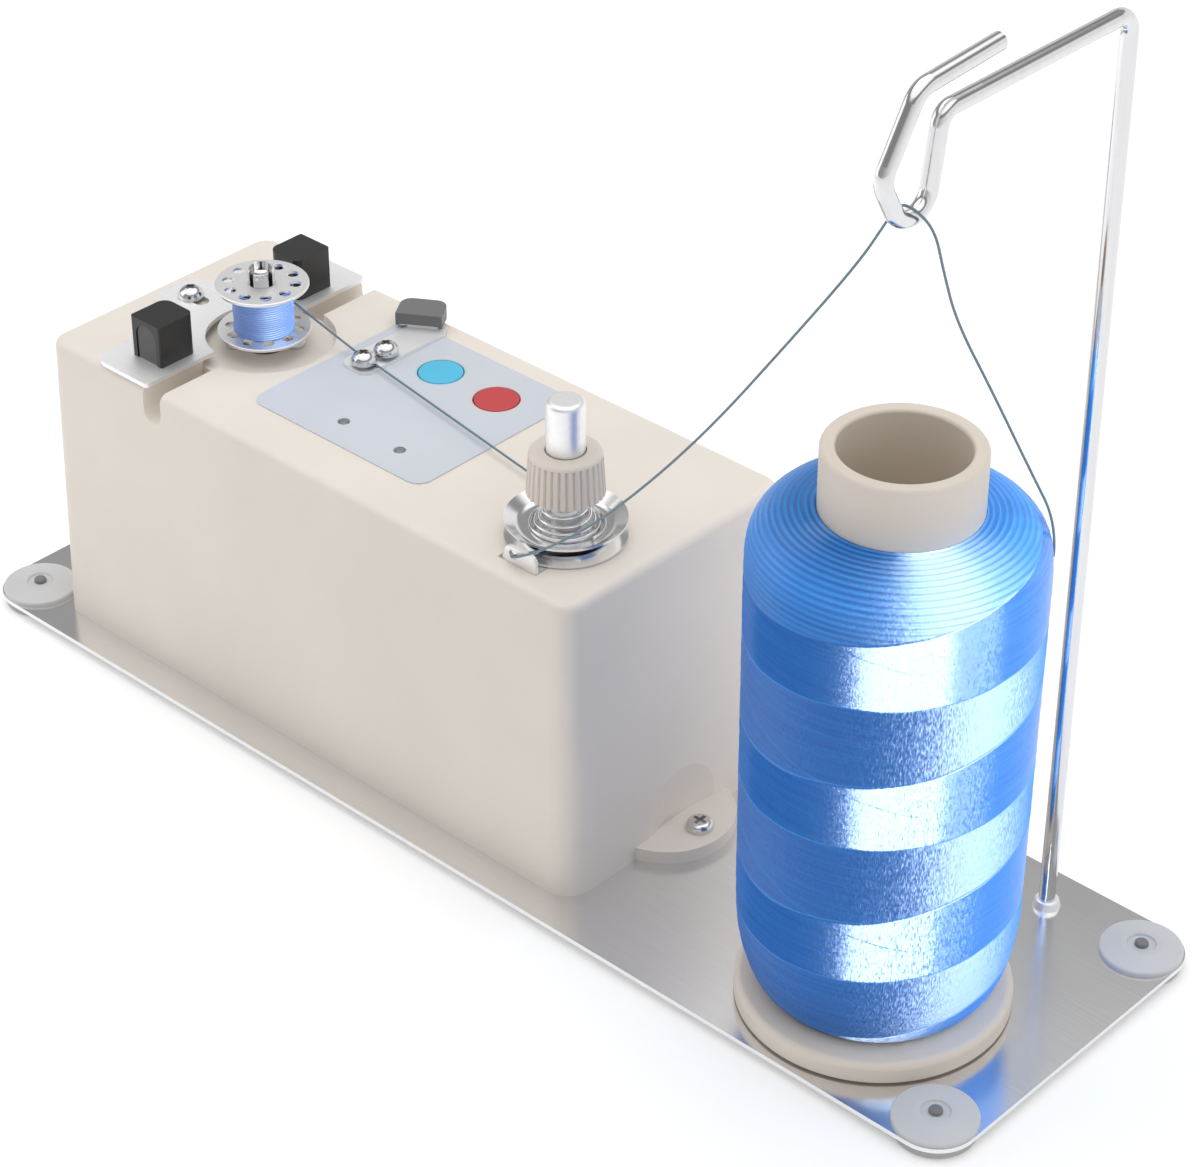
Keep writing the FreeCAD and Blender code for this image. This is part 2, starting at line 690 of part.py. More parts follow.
def makeHousing():
    """The moulded housing: drafted walls, a belt groove, a dish, two ears."""
    piece = newBody("housing")
    foot = sketchOn(piece, "XY_Plane", "plateTop")
    rectangle(foot, "housingLeft", "0 - housingHalf", "housingRight", "housingHalf",
              "housingCorner")
    block = pad(piece, foot, "housingHeight", taper="0 - housingDraft")
    top = number("housingTop")
    rounded(piece, block, "housingRound",
            lambda edge: all(abs(v.Z - top) < 1e-4 for v in edge.Vertexes))
    for out, wallX in (("1", "housingRight"), ("-1", "housingLeft")):
        ball = piece.newObject("PartDesign::SubtractiveSphere", "thumb_recess")
        curve = "(thumbRadius ^ 2 + thumbDepth ^ 2) / (2 * thumbDepth)"
        bind(ball, "Radius", curve)
        lift = "(earThick + thumbLift)"
        slope = "tan(housingDraft * 1 deg)"
        bind(ball, "AttachmentOffset.Base.x",
             "%s + %s * (%s - thumbDepth - %s * %s)" % (wallX, out, curve, lift, slope))
        bind(ball, "AttachmentOffset.Base.z", "plateTop + " + lift)
        plane = [item for item in piece.Origin.OriginFeatures if item.Role == "XY_Plane"][0]
        ball.AttachmentSupport = (plane, [""])
        ball.MapMode = "FlatFace"
    ears = sketchOn(piece, "XY_Plane", "plateTop")
    circle(ears, "housingRight - earReach", "0", "earRadius")
    circle(ears, "housingLeft + earReach", "0", "earRadius")
    pad(piece, ears, "earThick")
    cavity = sketchOn(piece, "XY_Plane", "plateTop")
    rectangle(cavity, "housingLeft + wall", "wall - housingHalf", "housingRight - wall",
              "housingHalf - wall", "housingCorner - wall")
    pocket(piece, cavity, "housingHeight - topWall", reverse=True, taper="0 - housingDraft")
    boss = sketchOn(piece, "XY_Plane", "motorTop")
    circle(boss, "bobbinX", "0", "motorRadius + 2")
    pad(piece, boss, "grooveDepth + troughWall - topWall + 0.5")
    trough = sketchOn(piece, "XY_Plane", "motorTop")
    rectangle(trough, "grooveMiddle - grooveWidth / 2 - troughWall", "wall * 0.5 - housingHalf + 1.7",
              "grooveMiddle + grooveWidth / 2 + troughWall", "housingHalf - wall * 0.5 - 1.7")
    pad(piece, trough, "grooveDepth + troughWall - topWall + 0.5")
    posts = sketchOn(piece, "XY_Plane", "boardTop")
    for x in ("boardLeft + boardScrewInset", "boardRight - boardScrewInset"):
        for y in ("boardScrewInset - boardHalf", "boardHalf - boardScrewInset"):
            circle(posts, x, y, "postRadius")
    pad(piece, posts, "boardDrop - topWall + 0.5")
    pilots = sketchOn(piece, "XY_Plane", "boardTop")
    for x in ("boardLeft + boardScrewInset", "boardRight - boardScrewInset"):
        for y in ("boardScrewInset - boardHalf", "boardHalf - boardScrewInset"):
            circle(pilots, x, y, "smallScrewRadius + snug")
    pocket(piece, pilots, "boardDrop - 1.2", reverse=True)
    groove = sketchOn(piece, "XZ_Plane")
    low = "housingTop - grooveDepth"
    left = "grooveMiddle - grooveWidth / 2"
    right = "grooveMiddle + grooveWidth / 2"
    outline(groove, [(left, "housingTop + 1"), (left, low, "grooveWidth * 0.48"),
                     (right, low, "grooveWidth * 0.48"), (right, "housingTop + 1")])
    pocket(piece, groove, "plateWidth", middle=True)
    island = sketchOn(piece, "XY_Plane", "motorTop")
    circle(island, "bobbinX", "0", "dishRadius")
    pad(piece, island, "grooveDepth + troughWall")
    dish = sketchOn(piece, "XY_Plane", "housingTop")
    circle(dish, "bobbinX", "0", "dishRadius")
    pocket(piece, dish, "dishDepth")
    shaft = sketchOn(piece, "XY_Plane", "housingTop")
    circle(shaft, "bobbinX", "0", "noseRadius + snug")
    for side in ("1", "-1"):
        circle(shaft, "bobbinX + motorScrewX * " + side, "motorScrewY * " + side,
               "screwRadius + snug")
    pocket(piece, shaft, "grooveDepth + troughWall + 1")
    wells = sketchOn(piece, "XY_Plane", "housingTop")
    circle(wells, "startX", "buttonY", "buttonRadius + loose")
    circle(wells, "stopX", "buttonY", "buttonRadius + loose")
    pocket(piece, wells, "buttonThick + buttonTravel + loose")
    stems = sketchOn(piece, "XY_Plane", "housingTop")
    circle(stems, "startX", "buttonY", "stemRadius + run")
    circle(stems, "stopX", "buttonY", "stemRadius + run")
    circle(stems, "powerLampX", "lampY", "lampRadius + run")
    circle(stems, "runLampX", "lampY", "lampRadius + run")
    circle(stems, "guideOneX", "guideOneY", "smallScrewRadius + snug")
    circle(stems, "guideTwoX", "guideTwoY", "smallScrewRadius + snug")
    circle(stems, "bracketScrewX", "0", "screwRadius + snug")
    circle(stems, "tensionX", "tensionY", "tensionPostRadius + snug")
    pocket(piece, stems, "topWall + 1")
    seat = sketchOn(piece, "XY_Plane", "housingTop")
    left = "tensionX - baseHalf - run"
    front = "baseFront - tabThick / 2 - run"
    back = "baseBack + run"
    outline(seat, [(left, front), ("tabRight + run", front), ("tabRight + run", back, "baseCorner"),
                   (left, back, "baseCorner")])
    pocket(piece, seat, "baseRecess")
    ring = sketchOn(piece, "XY_Plane", "housingTop")
    circle(ring, "tensionX", "tensionY", "bossShoulder + run")
    pocket(piece, ring, "baseRecess")
    earHoles = sketchOn(piece, "XY_Plane", "plateTop + earThick")
    circle(earHoles, "earRight", "0", "screwRadius + run")
    circle(earHoles, "earLeft", "0", "screwRadius + run")
    pocket(piece, earHoles, "earThick")
    inlet = sketchOn(piece, "XZ_Plane", "0 - housingHalf - 1")
    rectangle(inlet, "inletX - inletWidth / 2 - run", "plateTop + inletLift - run",
              "inletX + inletWidth / 2 + run", "plateTop + inletLift + inletHeight + run")
    pocket(piece, inlet, "wall + 4", reverse=True)
    keep(piece)


def makeHousingScrews():
    length = "earThick + plateThick + 0.8"
    screws = [panScrew("housing_screw_%d" % i, x, "0", "plateTop + earThick",
                       "screwHeadRadius", "screwHeadHeight", "screwRadius", length)
              for i, x in enumerate(("earRight", "earLeft"), 1)]
    group("housing_screws", screws)


def makeLabel():
    piece = newBody("panel_label")
    sketch = sketchOn(piece, "XY_Plane", "housingTop")
    rectangle(sketch, "labelLeft", "labelFront", "labelRight", "labelBack", "labelCorner")
    pad(piece, sketch, "labelThick")
    holes = sketchOn(piece, "XY_Plane", "housingTop + labelThick")
    circle(holes, "startX", "buttonY", "buttonRadius + loose")
    circle(holes, "stopX", "buttonY", "buttonRadius + loose")
    circle(holes, "powerLampX", "lampY", "lampRadius + run")
    circle(holes, "runLampX", "lampY", "lampRadius + run")
    circle(holes, "guideOneX", "guideOneY", "smallScrewRadius + run")
    circle(holes, "guideTwoX", "guideTwoY", "smallScrewRadius + run")
    pocket(piece, holes, "labelThick * 2")
    keep(piece)


def makeButtons():
    """Round caps whose stems reach down to the switches on the board."""
    crown = "labelThick + buttonProud"
    under = crown + " - buttonThick"
    tip = "switchHeight - boardDrop - plungerLength"
    stemEnd = "switchHeight - boardDrop + buttonTravel + loose"
    for label, x in (("start_button", "startX"), ("stop_button", "stopX")):
        piece = newBody(label, x, "buttonY", "housingTop")
        turned(piece, [("0", tip + " + buttonTravel + 0.1"),
                       ("plungerRadius", tip + " + buttonTravel + 0.1"),
                       ("plungerRadius", stemEnd), ("stemRadius", stemEnd),
                       ("stemRadius", under), ("buttonRadius", under),
                       ("buttonRadius", crown, "0.3"), ("0", crown)])
        keep(piece)
    for label, x in (("start_switch", "startX"), ("stop_switch", "stopX")):
        piece = newBody(label, x, "buttonY", "boardTop")
        sketch = sketchOn(piece)
        half = "switchSide / 2"
        rectangle(sketch, "0 - " + half, "0 - " + half, half, half, "0.4")
        pad(piece, sketch, "switchHeight")
        hole = sketchOn(piece, "XY_Plane", "switchHeight")
        circle(hole, "0", "0", "plungerRadius + run")
        pocket(piece, hole, "plungerLength + 0.4")
        keep(piece)


def makeLamps():
    reach = "boardDrop + labelThick - 0.1"
    for label, x in (("led_power", "powerLampX"), ("led_run", "runLampX")):
        piece = newBody(label, x, "lampY", "boardTop")
        turned(piece, [("0", "0"), ("lampRadius + 0.4", "0"), ("lampRadius + 0.4", "0.8"),
                       ("lampRadius", "0.8"), ("lampRadius", reach, "lampRadius * 0.8"),
                       ("0", reach)])
        keep(piece)


def makeBoard():
    piece = newBody("circuit_board")
    sketch = sketchOn(piece, "XY_Plane", "boardTop - boardThick")
    rectangle(sketch, "boardLeft", "0 - boardHalf", "boardRight", "boardHalf", "1.5")
    pad(piece, sketch, "boardThick")
    holes = sketchOn(piece, "XY_Plane", "boardTop")
    screws = []
    for x in ("boardLeft + boardScrewInset", "boardRight - boardScrewInset"):
        for y in ("boardScrewInset - boardHalf", "boardHalf - boardScrewInset"):
            circle(holes, x, y, "smallScrewRadius + run")
            screw = newBody("board_screw_%d" % len(screws), x, y, "boardTop - boardThick")
            turned(screw, [("0", "0 - smallHeadHeight"), ("smallHeadRadius * 0.6", "0 - smallHeadHeight"),
                           ("smallHeadRadius", "0 - smallHeadHeight * 0.4"), ("smallHeadRadius", "0"),
                           ("smallScrewRadius", "0"), ("smallScrewRadius", "boardThick + boardBite"),
                           ("0", "boardThick + boardBite")])
            screws.append(screw)
    pocket(piece, holes, "boardThick * 2")
    keep(piece)
    group("board_screws", screws)


def makeMotor():
    """A small direct current motor hung under the dish by two screws."""
    drop = "0 - motorLength"
    can = newBody("motor_can", "bobbinX", "0", "motorTop")
    turned(can, [("bushRadius", "0 - motorWall"), ("motorRadius - motorWall", "0 - motorWall"),
                 ("motorRadius - motorWall", drop), ("motorRadius", drop),
                 ("motorRadius", "0", "0.8"), ("noseRadius", "0"),
                 ("noseRadius", "noseLength"), ("bushRadius", "noseLength")])
    holes = sketchOn(can)
    circle(holes, "motorScrewX", "motorScrewY", "screwRadius + snug")
    circle(holes, "0 - motorScrewX", "0 - motorScrewY", "screwRadius + snug")
    pocket(can, holes, "motorWall * 2")
    cap = newBody("motor_end_cap", "bobbinX", "0", "motorTop - motorLength")
    turned(cap, [("bushRadius", "0 - endCapLength - 1"), ("bushRadius + 1.4", "0 - endCapLength - 1"),
                 ("bushRadius + 1.4", "0 - endCapLength"), ("motorRadius", "0 - endCapLength", "0.8"),
                 ("motorRadius", "0"), ("bushRadius", "0")])
    bushes = []
    for label, z in (("front_bush", "motorTop - motorWall"),
                     ("rear_bush", "motorTop - motorLength - endCapLength - 1")):
        bush = newBody(label, "bobbinX", "0", z)
        long = "motorWall + noseLength" if label == "front_bush" else "endCapLength + 1"
        turned(bush, [("shaftRadius + run", "0"), ("bushRadius", "0"), ("bushRadius", long),
                      ("shaftRadius + run", long)])
        bushes.append(bush)
    screws = [panScrew("motor_screw_%d" % i, "bobbinX + motorScrewX * " + side,
                       "motorScrewY * " + side, "dishFloor",
                       "screwRadius * 1.6", "screwRadius", "screwRadius",
                       "grooveDepth + troughWall - dishDepth + motorWall + 1")
              for i, side in enumerate(("1", "-1"), 1)]
    keep(can, cap)
    group("motor_bushes", bushes)
    group("motor_screws", screws)


def makeSpindle():
    shaft = newBody("motor_shaft", "bobbinX", "0")
    low = "motorTop - motorLength - endCapLength - 1.5"
    turned(shaft, [("0", low), ("shaftRadius", low), ("shaftRadius", "bobbinSeat"),
                   ("0", "bobbinSeat")])
    rotor = newBody("rotor", "bobbinX", "0")
    below = "motorTop - motorLength + rotorInset"
    above = "motorTop - motorWall - rotorInset"
    turned(rotor, [("shaftRadius", below), ("rotorRadius", below, "1"),
                   ("rotorRadius", above, "1"), ("shaftRadius", above)])
    slots = sketchOn(rotor, "XY_Plane", above)
    circle(slots, "rotorRadius", "0", "1.4")
    cut = pocket(rotor, slots, "motorLength - 2 * rotorInset - motorWall")
    repeated(rotor, cut, slots, "5")
    hub = newBody("spindle_hub", "bobbinX", "0")
    seat = "bobbinSeat"
    turned(hub, [("shaftRadius", "motorTop + noseLength + 0.6"),
                 ("hubSkirtRadius", "motorTop + noseLength + 0.6"),
                 ("hubSkirtRadius", seat + " - hubFlangeThick"),
                 ("hubFlangeRadius", seat + " - hubFlangeThick"), ("hubFlangeRadius", seat),
                 ("spindleRadius", seat), ("spindleRadius", "pinTop", "1"),
                 ("pinBore", "pinTop"), ("pinBore", "pinTop - pinSlotDepth"),
                 ("0", "pinTop - pinSlotDepth"), ("0", seat), ("shaftRadius", seat)])
    slot = sketchOn(hub, "XY_Plane", "pinTop")
    rectangle(slot, "0 - spindleRadius - 1", "0 - pinSlot / 2", "spindleRadius + 1", "pinSlot / 2")
    cut = pocket(hub, slot, "pinSlotDepth")
    repeated(hub, cut, slot, "4")
    keep(shaft, rotor, hub)


def makeBobbin():
    piece = newBody("bobbin", "bobbinX", "0", "bobbinSeat")
    rim = "0.25"
    turned(piece, [("bobbinBore", "0"), ("bobbinRadius", "0"),
                   ("bobbinRadius", "flangeThick", rim), ("bobbinTube", "flangeThick"),
                   ("bobbinTube", "bobbinHeight - flangeThick"),
                   ("bobbinRadius", "bobbinHeight - flangeThick"),
                   ("bobbinRadius", "bobbinHeight", rim), ("bobbinBore", "bobbinHeight")])
    holes = sketchOn(piece, "XY_Plane", "bobbinHeight")
    circle(holes, "flangeHoleRing", "0", "flangeHoleRadius")
    cut = pocket(piece, holes, "bobbinHeight")
    repeated(piece, cut, holes, "flangeHoles")
    core = newBody("bobbin_winding", "bobbinX", "0", "bobbinSeat")
    turned(core, [("bobbinTube", "flangeThick"), ("woundRadius", "flangeThick"),
                  ("woundRadius", "bobbinHeight - flangeThick"),
                  ("bobbinTube", "bobbinHeight - flangeThick")])
    keep(piece, core)
    thick = number("bobbinTurnThick")
    side = thick / 2 + number("loose") * 0.6
    wound("bobbin_turns", number("bobbinX"), 0.0,
          lambda z: number("woundRadius + bobbinTurnThick / 2 - 0.03"),
          number("bobbinSeat + flangeThick") + side,
          number("bobbinSeat + bobbinHeight - flangeThick") - side, number("bobbinTurns"), thick)


def makeBracket():
    """The sliding plate with the two light beam blocks that face the bobbin."""
    plate = newBody("bracket_plate", "0", "0", "housingTop + slideGap")
    sketch = sketchOn(plate)
    outline(sketch, [("bracketRight", "0 - bracketHalf", "1"), ("bracketRight", "bracketHalf", "1"),
                     ("armLeft", "bracketHalf", "bracketCorner"),
                     ("armLeft", "webHalf", "2"), ("webLeft", "webHalf", "bracketCorner"),
                     ("webLeft", "0 - webHalf", "bracketCorner"), ("armLeft", "0 - webHalf", "2"),
                     ("armLeft", "0 - bracketHalf", "bracketCorner")])
    pad(plate, sketch, "bracketThick")
    cuts = sketchOn(plate, "XY_Plane", "bracketThick")
    circle(cuts, "bobbinX", "0", "bracketCut")
    pocket(plate, cuts, "bracketThick * 2")
    slot = sketchOn(plate, "XY_Plane", "bracketThick")
    rectangle(slot, "slotLeft", "0 - slotHalf", "slotRight", "slotHalf", "slotHalf * 0.97")
    pocket(plate, slot, "bracketThick * 2")
    seat = "housingTop + slideGap + bracketThick"
    keep(plate)
    for side, label, lens in ((-1, "emitter_block", "emitter_led"),
                              (1, "detector_block", "detector_led")):
        block = newBody(label, "0", "0", seat)
        sketch = sketchOn(block)
        inner = "(blockShift + blockInner * %d)" % side
        outer = "(blockShift + blockOuter * %d)" % side
        outline(sketch, [("blockRight", inner, "blockRound * 0.7"), ("blockRight", outer, "0.5"),
                         ("blockLeft", outer, "0.5"), ("blockLeft", inner, "blockRound")])
        pad(block, sketch, "blockHeight")
        middle = "(blockLeft + blockRight) / 2"
        window = sketchOn(block, "XZ_Plane", "0 - " + outer)
        outline(window, [(middle + " - windowRadius", "0"), (middle + " + windowRadius", "0"),
                         (middle + " + windowRadius", "windowHeight", "windowRadius * 0.97"),
                         (middle + " - windowRadius", "windowHeight", "windowRadius * 0.97")])
        pocket(block, window, "windowDepth", reverse=side > 0)
        beam = sketchOn(block, "XZ_Plane", "0 - " + inner)
        circle(beam, middle, "windowHeight - windowRadius", "beamRadius")
        pocket(block, beam, "beamLength", reverse=side < 0)
        led = newBody(lens, "0", "0", seat)
        shape = sketchOn(led, "XZ_Plane", "0 - (%s) + %d * windowLip" % (outer, side))
        near = "(windowRadius - run)"
        outline(shape, [(middle + " - " + near, "0"), (middle + " + " + near, "0"),
                        (middle + " + " + near, "windowHeight - run", near + " * 0.97"),
                        (middle + " - " + near, "windowHeight - run", near + " * 0.97")])
        pad(led, shape, "windowDepth - windowLip - run", reverse=side < 0)
        keep(block, led)
    screw = panScrew("bracket_screw", "bracketScrewX", "0", seat + " + slideGap",
                     "slotHalf + 1.15", "guideHeadHeight", "screwRadius",
                     "bracketThick + topWall + 0.5", "0.95", "0.4")
    keep(screw)


def makeCutter():
    """A steel strip under two thread guide screws, with a guarded blade."""
    strip = newBody("cutter_strip", "0", "0", "housingTop + labelThick")
    sketch = sketchOn(strip)
    half = "(stripRight - stripLeft) / 2"
    outline(sketch, [("stripLeft", "stripFront", half + " * 0.6"),
                     ("stripRight", "stripFront", half + " * 0.6"),
                     ("stripRight", "stripBack - 3", "1.2"), ("stripRight - 2.4", "stripBack", "1.2"),
                     ("stripLeft", "stripBack", "1.5")])
    pad(strip, sketch, "stripThick")
    holes = sketchOn(strip, "XY_Plane", "stripThick")
    circle(holes, "guideOneX", "guideOneY", "smallScrewRadius + run")
    circle(holes, "guideTwoX", "guideTwoY", "smallScrewRadius + run")
    pocket(strip, holes, "stripThick * 2")
    keep(strip)
    screws = [panScrew("guide_screw_%d" % i, x, y, "stripTop + guideScrewGap",
                       "guideHeadRadius", "guideHeadHeight", "smallScrewRadius",
                       "guideScrewGap + stripThick + labelThick + topWall", "0.95", "0.4")
              for i, (x, y) in enumerate((("guideOneX", "guideOneY"),
                                          ("guideTwoX", "guideTwoY")), 1)]
    group("guide_screws", screws)
    blade = newBody("cutter_blade", "guardX", "guardY", "stripTop")
    guard = newBody("cutter_guard", "guardX", "guardY", "stripTop")
    for piece, inset, thick in ((blade, "0.9", "bladeThick"), (guard, "0", "guardHeight")):
        bind(piece, "Placement.Rotation.Angle", "guardTurn")
        sketch = sketchOn(piece)
        guardOutline(sketch, inset, "0.0")
        pad(piece, sketch, thick)
    recess = sketchOn(guard)
    guardOutline(recess, "0.9 - run", "0 - 1")
    pocket(guard, recess, "bladeThick + run", reverse=True)
    keep(blade, guard)


def guardOutline(sketch, inset, front):
    """The guard's plan, round at its back corners, drawn in by the inset."""
    wide = "guardWidth / 2 - (%s)" % inset
    deep = "guardDeep - (%s)" % inset
    outline(sketch, [("0 - (%s)" % wide, front), (wide, front), (wide, deep, "guardRound"),
                     ("0 - (%s)" % wide, deep, "guardRound")])


def makeTensioner():
    """Two polished saucers on a post, a spring, a ribbed knob and a cap nut."""
    base = newBody("tension_base", "0", "0", "housingTop - baseRecess")
    sketch = sketchOn(base)
    rectangle(sketch, "tensionX - baseHalf", "baseFront", "tabRight", "baseBack", "baseCorner")
    pad(base, sketch, "baseRecess")
    for radius, height in (("bossShoulder", "baseRecess + discLift - slideGap"),
                           ("bossRadius", "baseRecess + discLift + discThick + threadGap - slideGap")):
        boss = sketchOn(base)
        circle(boss, "tensionX", "tensionY", radius)
        pad(base, boss, height)
    tab = sketchOn(base, "XZ_Plane", "0 - baseFront - tabThick / 2")
    outline(tab, [("tabLeft", "0"), ("tabRight", "0"), ("tabRight", "baseRecess + tabHeight", "1.6"),
                  ("tabLeft", "baseRecess + tabHeight", "1.6")])
    pad(base, tab, "tabThick")
    eye = sketchOn(base, "XZ_Plane", "0 - baseFront")
    circle(eye, "eyeX", "baseRecess + eyeLift", "eyeRadius")
    pocket(base, eye, "tabThick * 2", middle=True)
    bore = sketchOn(base, "XY_Plane", "baseRecess + discLift + discThick + threadGap")
    circle(bore, "tensionX", "tensionY", "tensionPostRadius + snug")
    pocket(base, bore, "baseRecess + discLift + discThick + threadGap + 1")
    post = newBody("tension_post", "tensionX", "tensionY")
    under = "housingTop - topWall - 2.6"
    turned(post, [("0", under), ("tensionPostRadius", under), ("tensionPostRadius", "postTop", "0.5"),
                  ("0", "postTop")])
    nut = newBody("post_nut", "tensionX", "tensionY", "housingTop - topWall - 2.4")
    flats = sketchOn(nut)
    ring = "tensionPostRadius * 1.9"
    outline(flats, [("(%s) * %.6f" % (ring, math.cos(math.radians(60 * i))),
                     "(%s) * %.6f" % (ring, math.sin(math.radians(60 * i)))) for i in range(6)])
    pad(nut, flats, "2.4")
    thread = sketchOn(nut, "XY_Plane", "2.4")
    circle(thread, "0", "0", "tensionPostRadius")
    pocket(nut, thread, "3")
    bore = "tensionPostRadius + run"
    lower = newBody("lower_disc", "tensionX", "tensionY", "lowerFlat")
    turned(lower, [("bossRadius + run", "0 - discThick"), ("discFlat", "0 - discThick", "4"),
                   ("discRadius", "0 - discThick - discDrop"), ("discRadius", "0 - discDrop"),
                   ("discFlat", "0", "4"), ("bossRadius + run", "0")])
    upper = newBody("upper_disc", "tensionX", "tensionY", "upperFlat")
    turned(upper, [(bore, "0"), ("discFlat", "0", "2.6"), ("discRadius", "discRise"),
                   ("discRadius", "discRise + discThick"), ("discFlat", "discThick", "2.1"),
                   (bore, "discThick")])
    washer = newBody("spring_cap", "tensionX", "tensionY", "knobBottom - washerThick")
    turned(washer, [(bore, "0"), ("washerRadius", "0"), ("washerRadius", "washerThick", "0.3"),
                    (bore, "washerThick")])
    knob = newBody("tension_knob", "tensionX", "tensionY", "knobBottom")
    tall = "knobHeight"
    turned(knob, [(bore, "slideGap"), ("knobBottomRadius", "slideGap"),
                  ("knobTopRadius", tall, "1.1"), ("capNutRadius + loose", tall),
                  ("capNutRadius + loose", tall + " - knobSink"), (bore, tall + " - knobSink")])
    ribLow = sketchOn(knob, "XY_Plane", "0")
    rib(ribLow, "knobBottomRadius")
    ribHigh = sketchOn(knob, "XY_Plane", tall + " - 0.9")
    rib(ribHigh, "knobTopRadius + 0.05")
    flute = knob.newObject("PartDesign::SubtractiveLoft", "knob_flute")
    flute.Profile = ribLow
    flute.Sections = [ribHigh]
    flute.Ruled = True
    repeated(knob, flute, ribLow, "knobRibs")
    cap = newBody("cap_nut", "tensionX", "tensionY", "capNutBottom")
    high = "capNutHeight"
    blind = "postTop - capNutBottom"
    turned(cap, [("tensionPostRadius", "0"), ("capNutRadius", "0"), ("capNutRadius", high, "1.1"),
                 ("0", high), ("0", blind), ("tensionPostRadius", blind)])
    low = number("upperFlat + discThick + slideGap + springWire / 2")
    top = number("knobBottom - washerThick - slideGap * 3 - springWire / 2")
    head = number("springHead")
    flare = number("springFoot") - head
    wound("tension_spring", number("tensionX"), number("tensionY"),
          lambda z: head + flare * (1 - math.sqrt((z - low) / (top - low))) ** 1.5, low, top,
          number("springCurls"), number("springWire"), 2)
    keep(base, post, nut, lower, upper, washer, knob, cap)


def rib(sketch, radius):
    """The triangle that one flute takes out of the knob's side."""
    wide = "(%s) * 0.075" % radius
    outline(sketch, [("(%s) - ribDepth" % radius, "0"), ("(%s) + 0.3" % radius, "0 - " + wide),
                     ("(%s) + 0.3" % radius, wide)])


def makeMast():
    """A bent wire: upright, arm, and a hook that closes over itself."""
    wire = newBody("wire_mast", "mastX", "mastY")
    spine = sketchOn(wire, "YZ_Plane")
    high = "mastHeight"
    outline(spine, [("0", "padHeight"), ("0", high, "4.2"), ("0 - armEnd", high, "3"),
                    ("0 - armEnd - 2.9", "mastHeight - 18.2", "4.6"),
                    ("0 - armEnd - 10.4", "mastHeight - 15.9", "5.2"),
                    ("0 - armEnd - 15.1", "mastHeight - 7.5", "4.5"),
                    ("0 - armEnd - 6.6", "mastHeight + 6.2", "5"),
                    ("0 - armEnd + 14.6", "mastHeight + 7.4")], closed=False)
    section = sketchOn(wire, "XY_Plane", "padHeight")
    circle(section, "0", "0", "wireRadius")
    pipe = wire.newObject("PartDesign::AdditivePipe", "mast_pipe")
    pipe.Profile = section
    pipe.Spine = (spine, [])
    collar = newBody("mast_collar", "mastX", "mastY", "plateTop")
    turned(collar, [("wireRadius", "0"), ("collarRadius", "0"),
                    ("collarRadius - 0.5", "collarHeight", "0.6"), ("wireRadius", "collarHeight")])
    keep(wire, collar)


def makeCone():
    """The paper tube on its foot, the thread body and the peg that centres it."""
    core = newBody("spool_core", "coneX", "coneY")
    turned(core, [("tubeInner", "coneBase"), ("coneFlange", "coneBase"),
                  ("coneFlange", "coneFoot", "1.4"), ("tubeOuter", "coneFoot"),
                  ("tubeOuter", "tubeTop", "0.7"), ("tubeInner", "tubeTop", "0.7")])
    body = newBody("thread_cone", "coneX", "coneY")
    turned(body, [("tubeOuter", "coneFoot"), ("woundFoot - footRound", "coneFoot", "1"),
                  ("woundFoot", "coneFoot + footRound", "footRound"),
                  ("woundBelly", "bellyStart", "30"), ("woundTop", "shoulderStart", "8.8"),
                  ("tubeOuter + 6.4", "shoulderEnd - 0.3", "9"), ("tubeOuter", "shoulderEnd")])
    peg = newBody("spool_peg", "coneX", "coneY", "plateTop")
    fit = "tubeInner - run"
    turned(peg, [("screwRadius", "0"), ("pegFlange", "0"), ("pegFlange", "coneFloor - slideGap"),
                 (fit, "coneFloor - slideGap"), (fit, "pegReach", "2"), ("screwRadius", "pegReach")])
    screw = newBody("peg_screw", "coneX", "coneY", "padHeight")
    turned(screw, [("0", "0 - 1.4"), ("screwHeadRadius", "0 - 1.4", "0.5"), ("screwHeadRadius", "0"),
                   ("screwRadius", "0"), ("screwRadius", "plateThick + pegReach - 1"),
                   ("0", "plateThick + pegReach - 1")])
    keep(core, body, peg, screw)
    thick = number("coneTurnThick")
    low = number("bellyStart + turnsStart")
    high = number("shoulderStart - turnsEnd")
    start = number("bellyStart")
    rise = number("(woundTop - woundBelly) / (shoulderStart - bellyStart)")
    belly = number("woundBelly + coneTurnThick / 2 - 0.03")
    wound("cone_turns", number("coneX"), number("coneY"), lambda z: belly + rise * (z - start),
          low, high, number("coneTurns"), thick)


# The laid thread: corners of its route and, where it goes round something, the radius there.
threadRoute = [
    (118.89, 7.91, 104.6), (120.15, 6.1, 113.0), (117.7, -0.2, 126.2), (114.7, -11.8, 151.4),
    (110.4, -28.45, 186.15, 2.05), (107.0, -28.6, 186.15, 2.05),
    (104.6, -28.62, 181.6), (99.6, -28.65, 172.6), (87.5, -28.7, 154.8), (65.4, -28.75, 123.4),
    (42.7, -28.6, 96.8), (27.8, -28.3, 83.1), (19.6, -28.05, 77.1),
    (16.6, -28.1, 75.5, 0.6), (16.0, -27.55, 75.28, 0.6),
    (24.115, -12.912, 75.25, 6.5), (21.201, -6.853, 75.25, 6.5),
    (-59.6, 6.85, 74.96, 1.5), (-62.9, 6.88, 75.0, 3.0), (-85.33, 7.1, 80.5)]


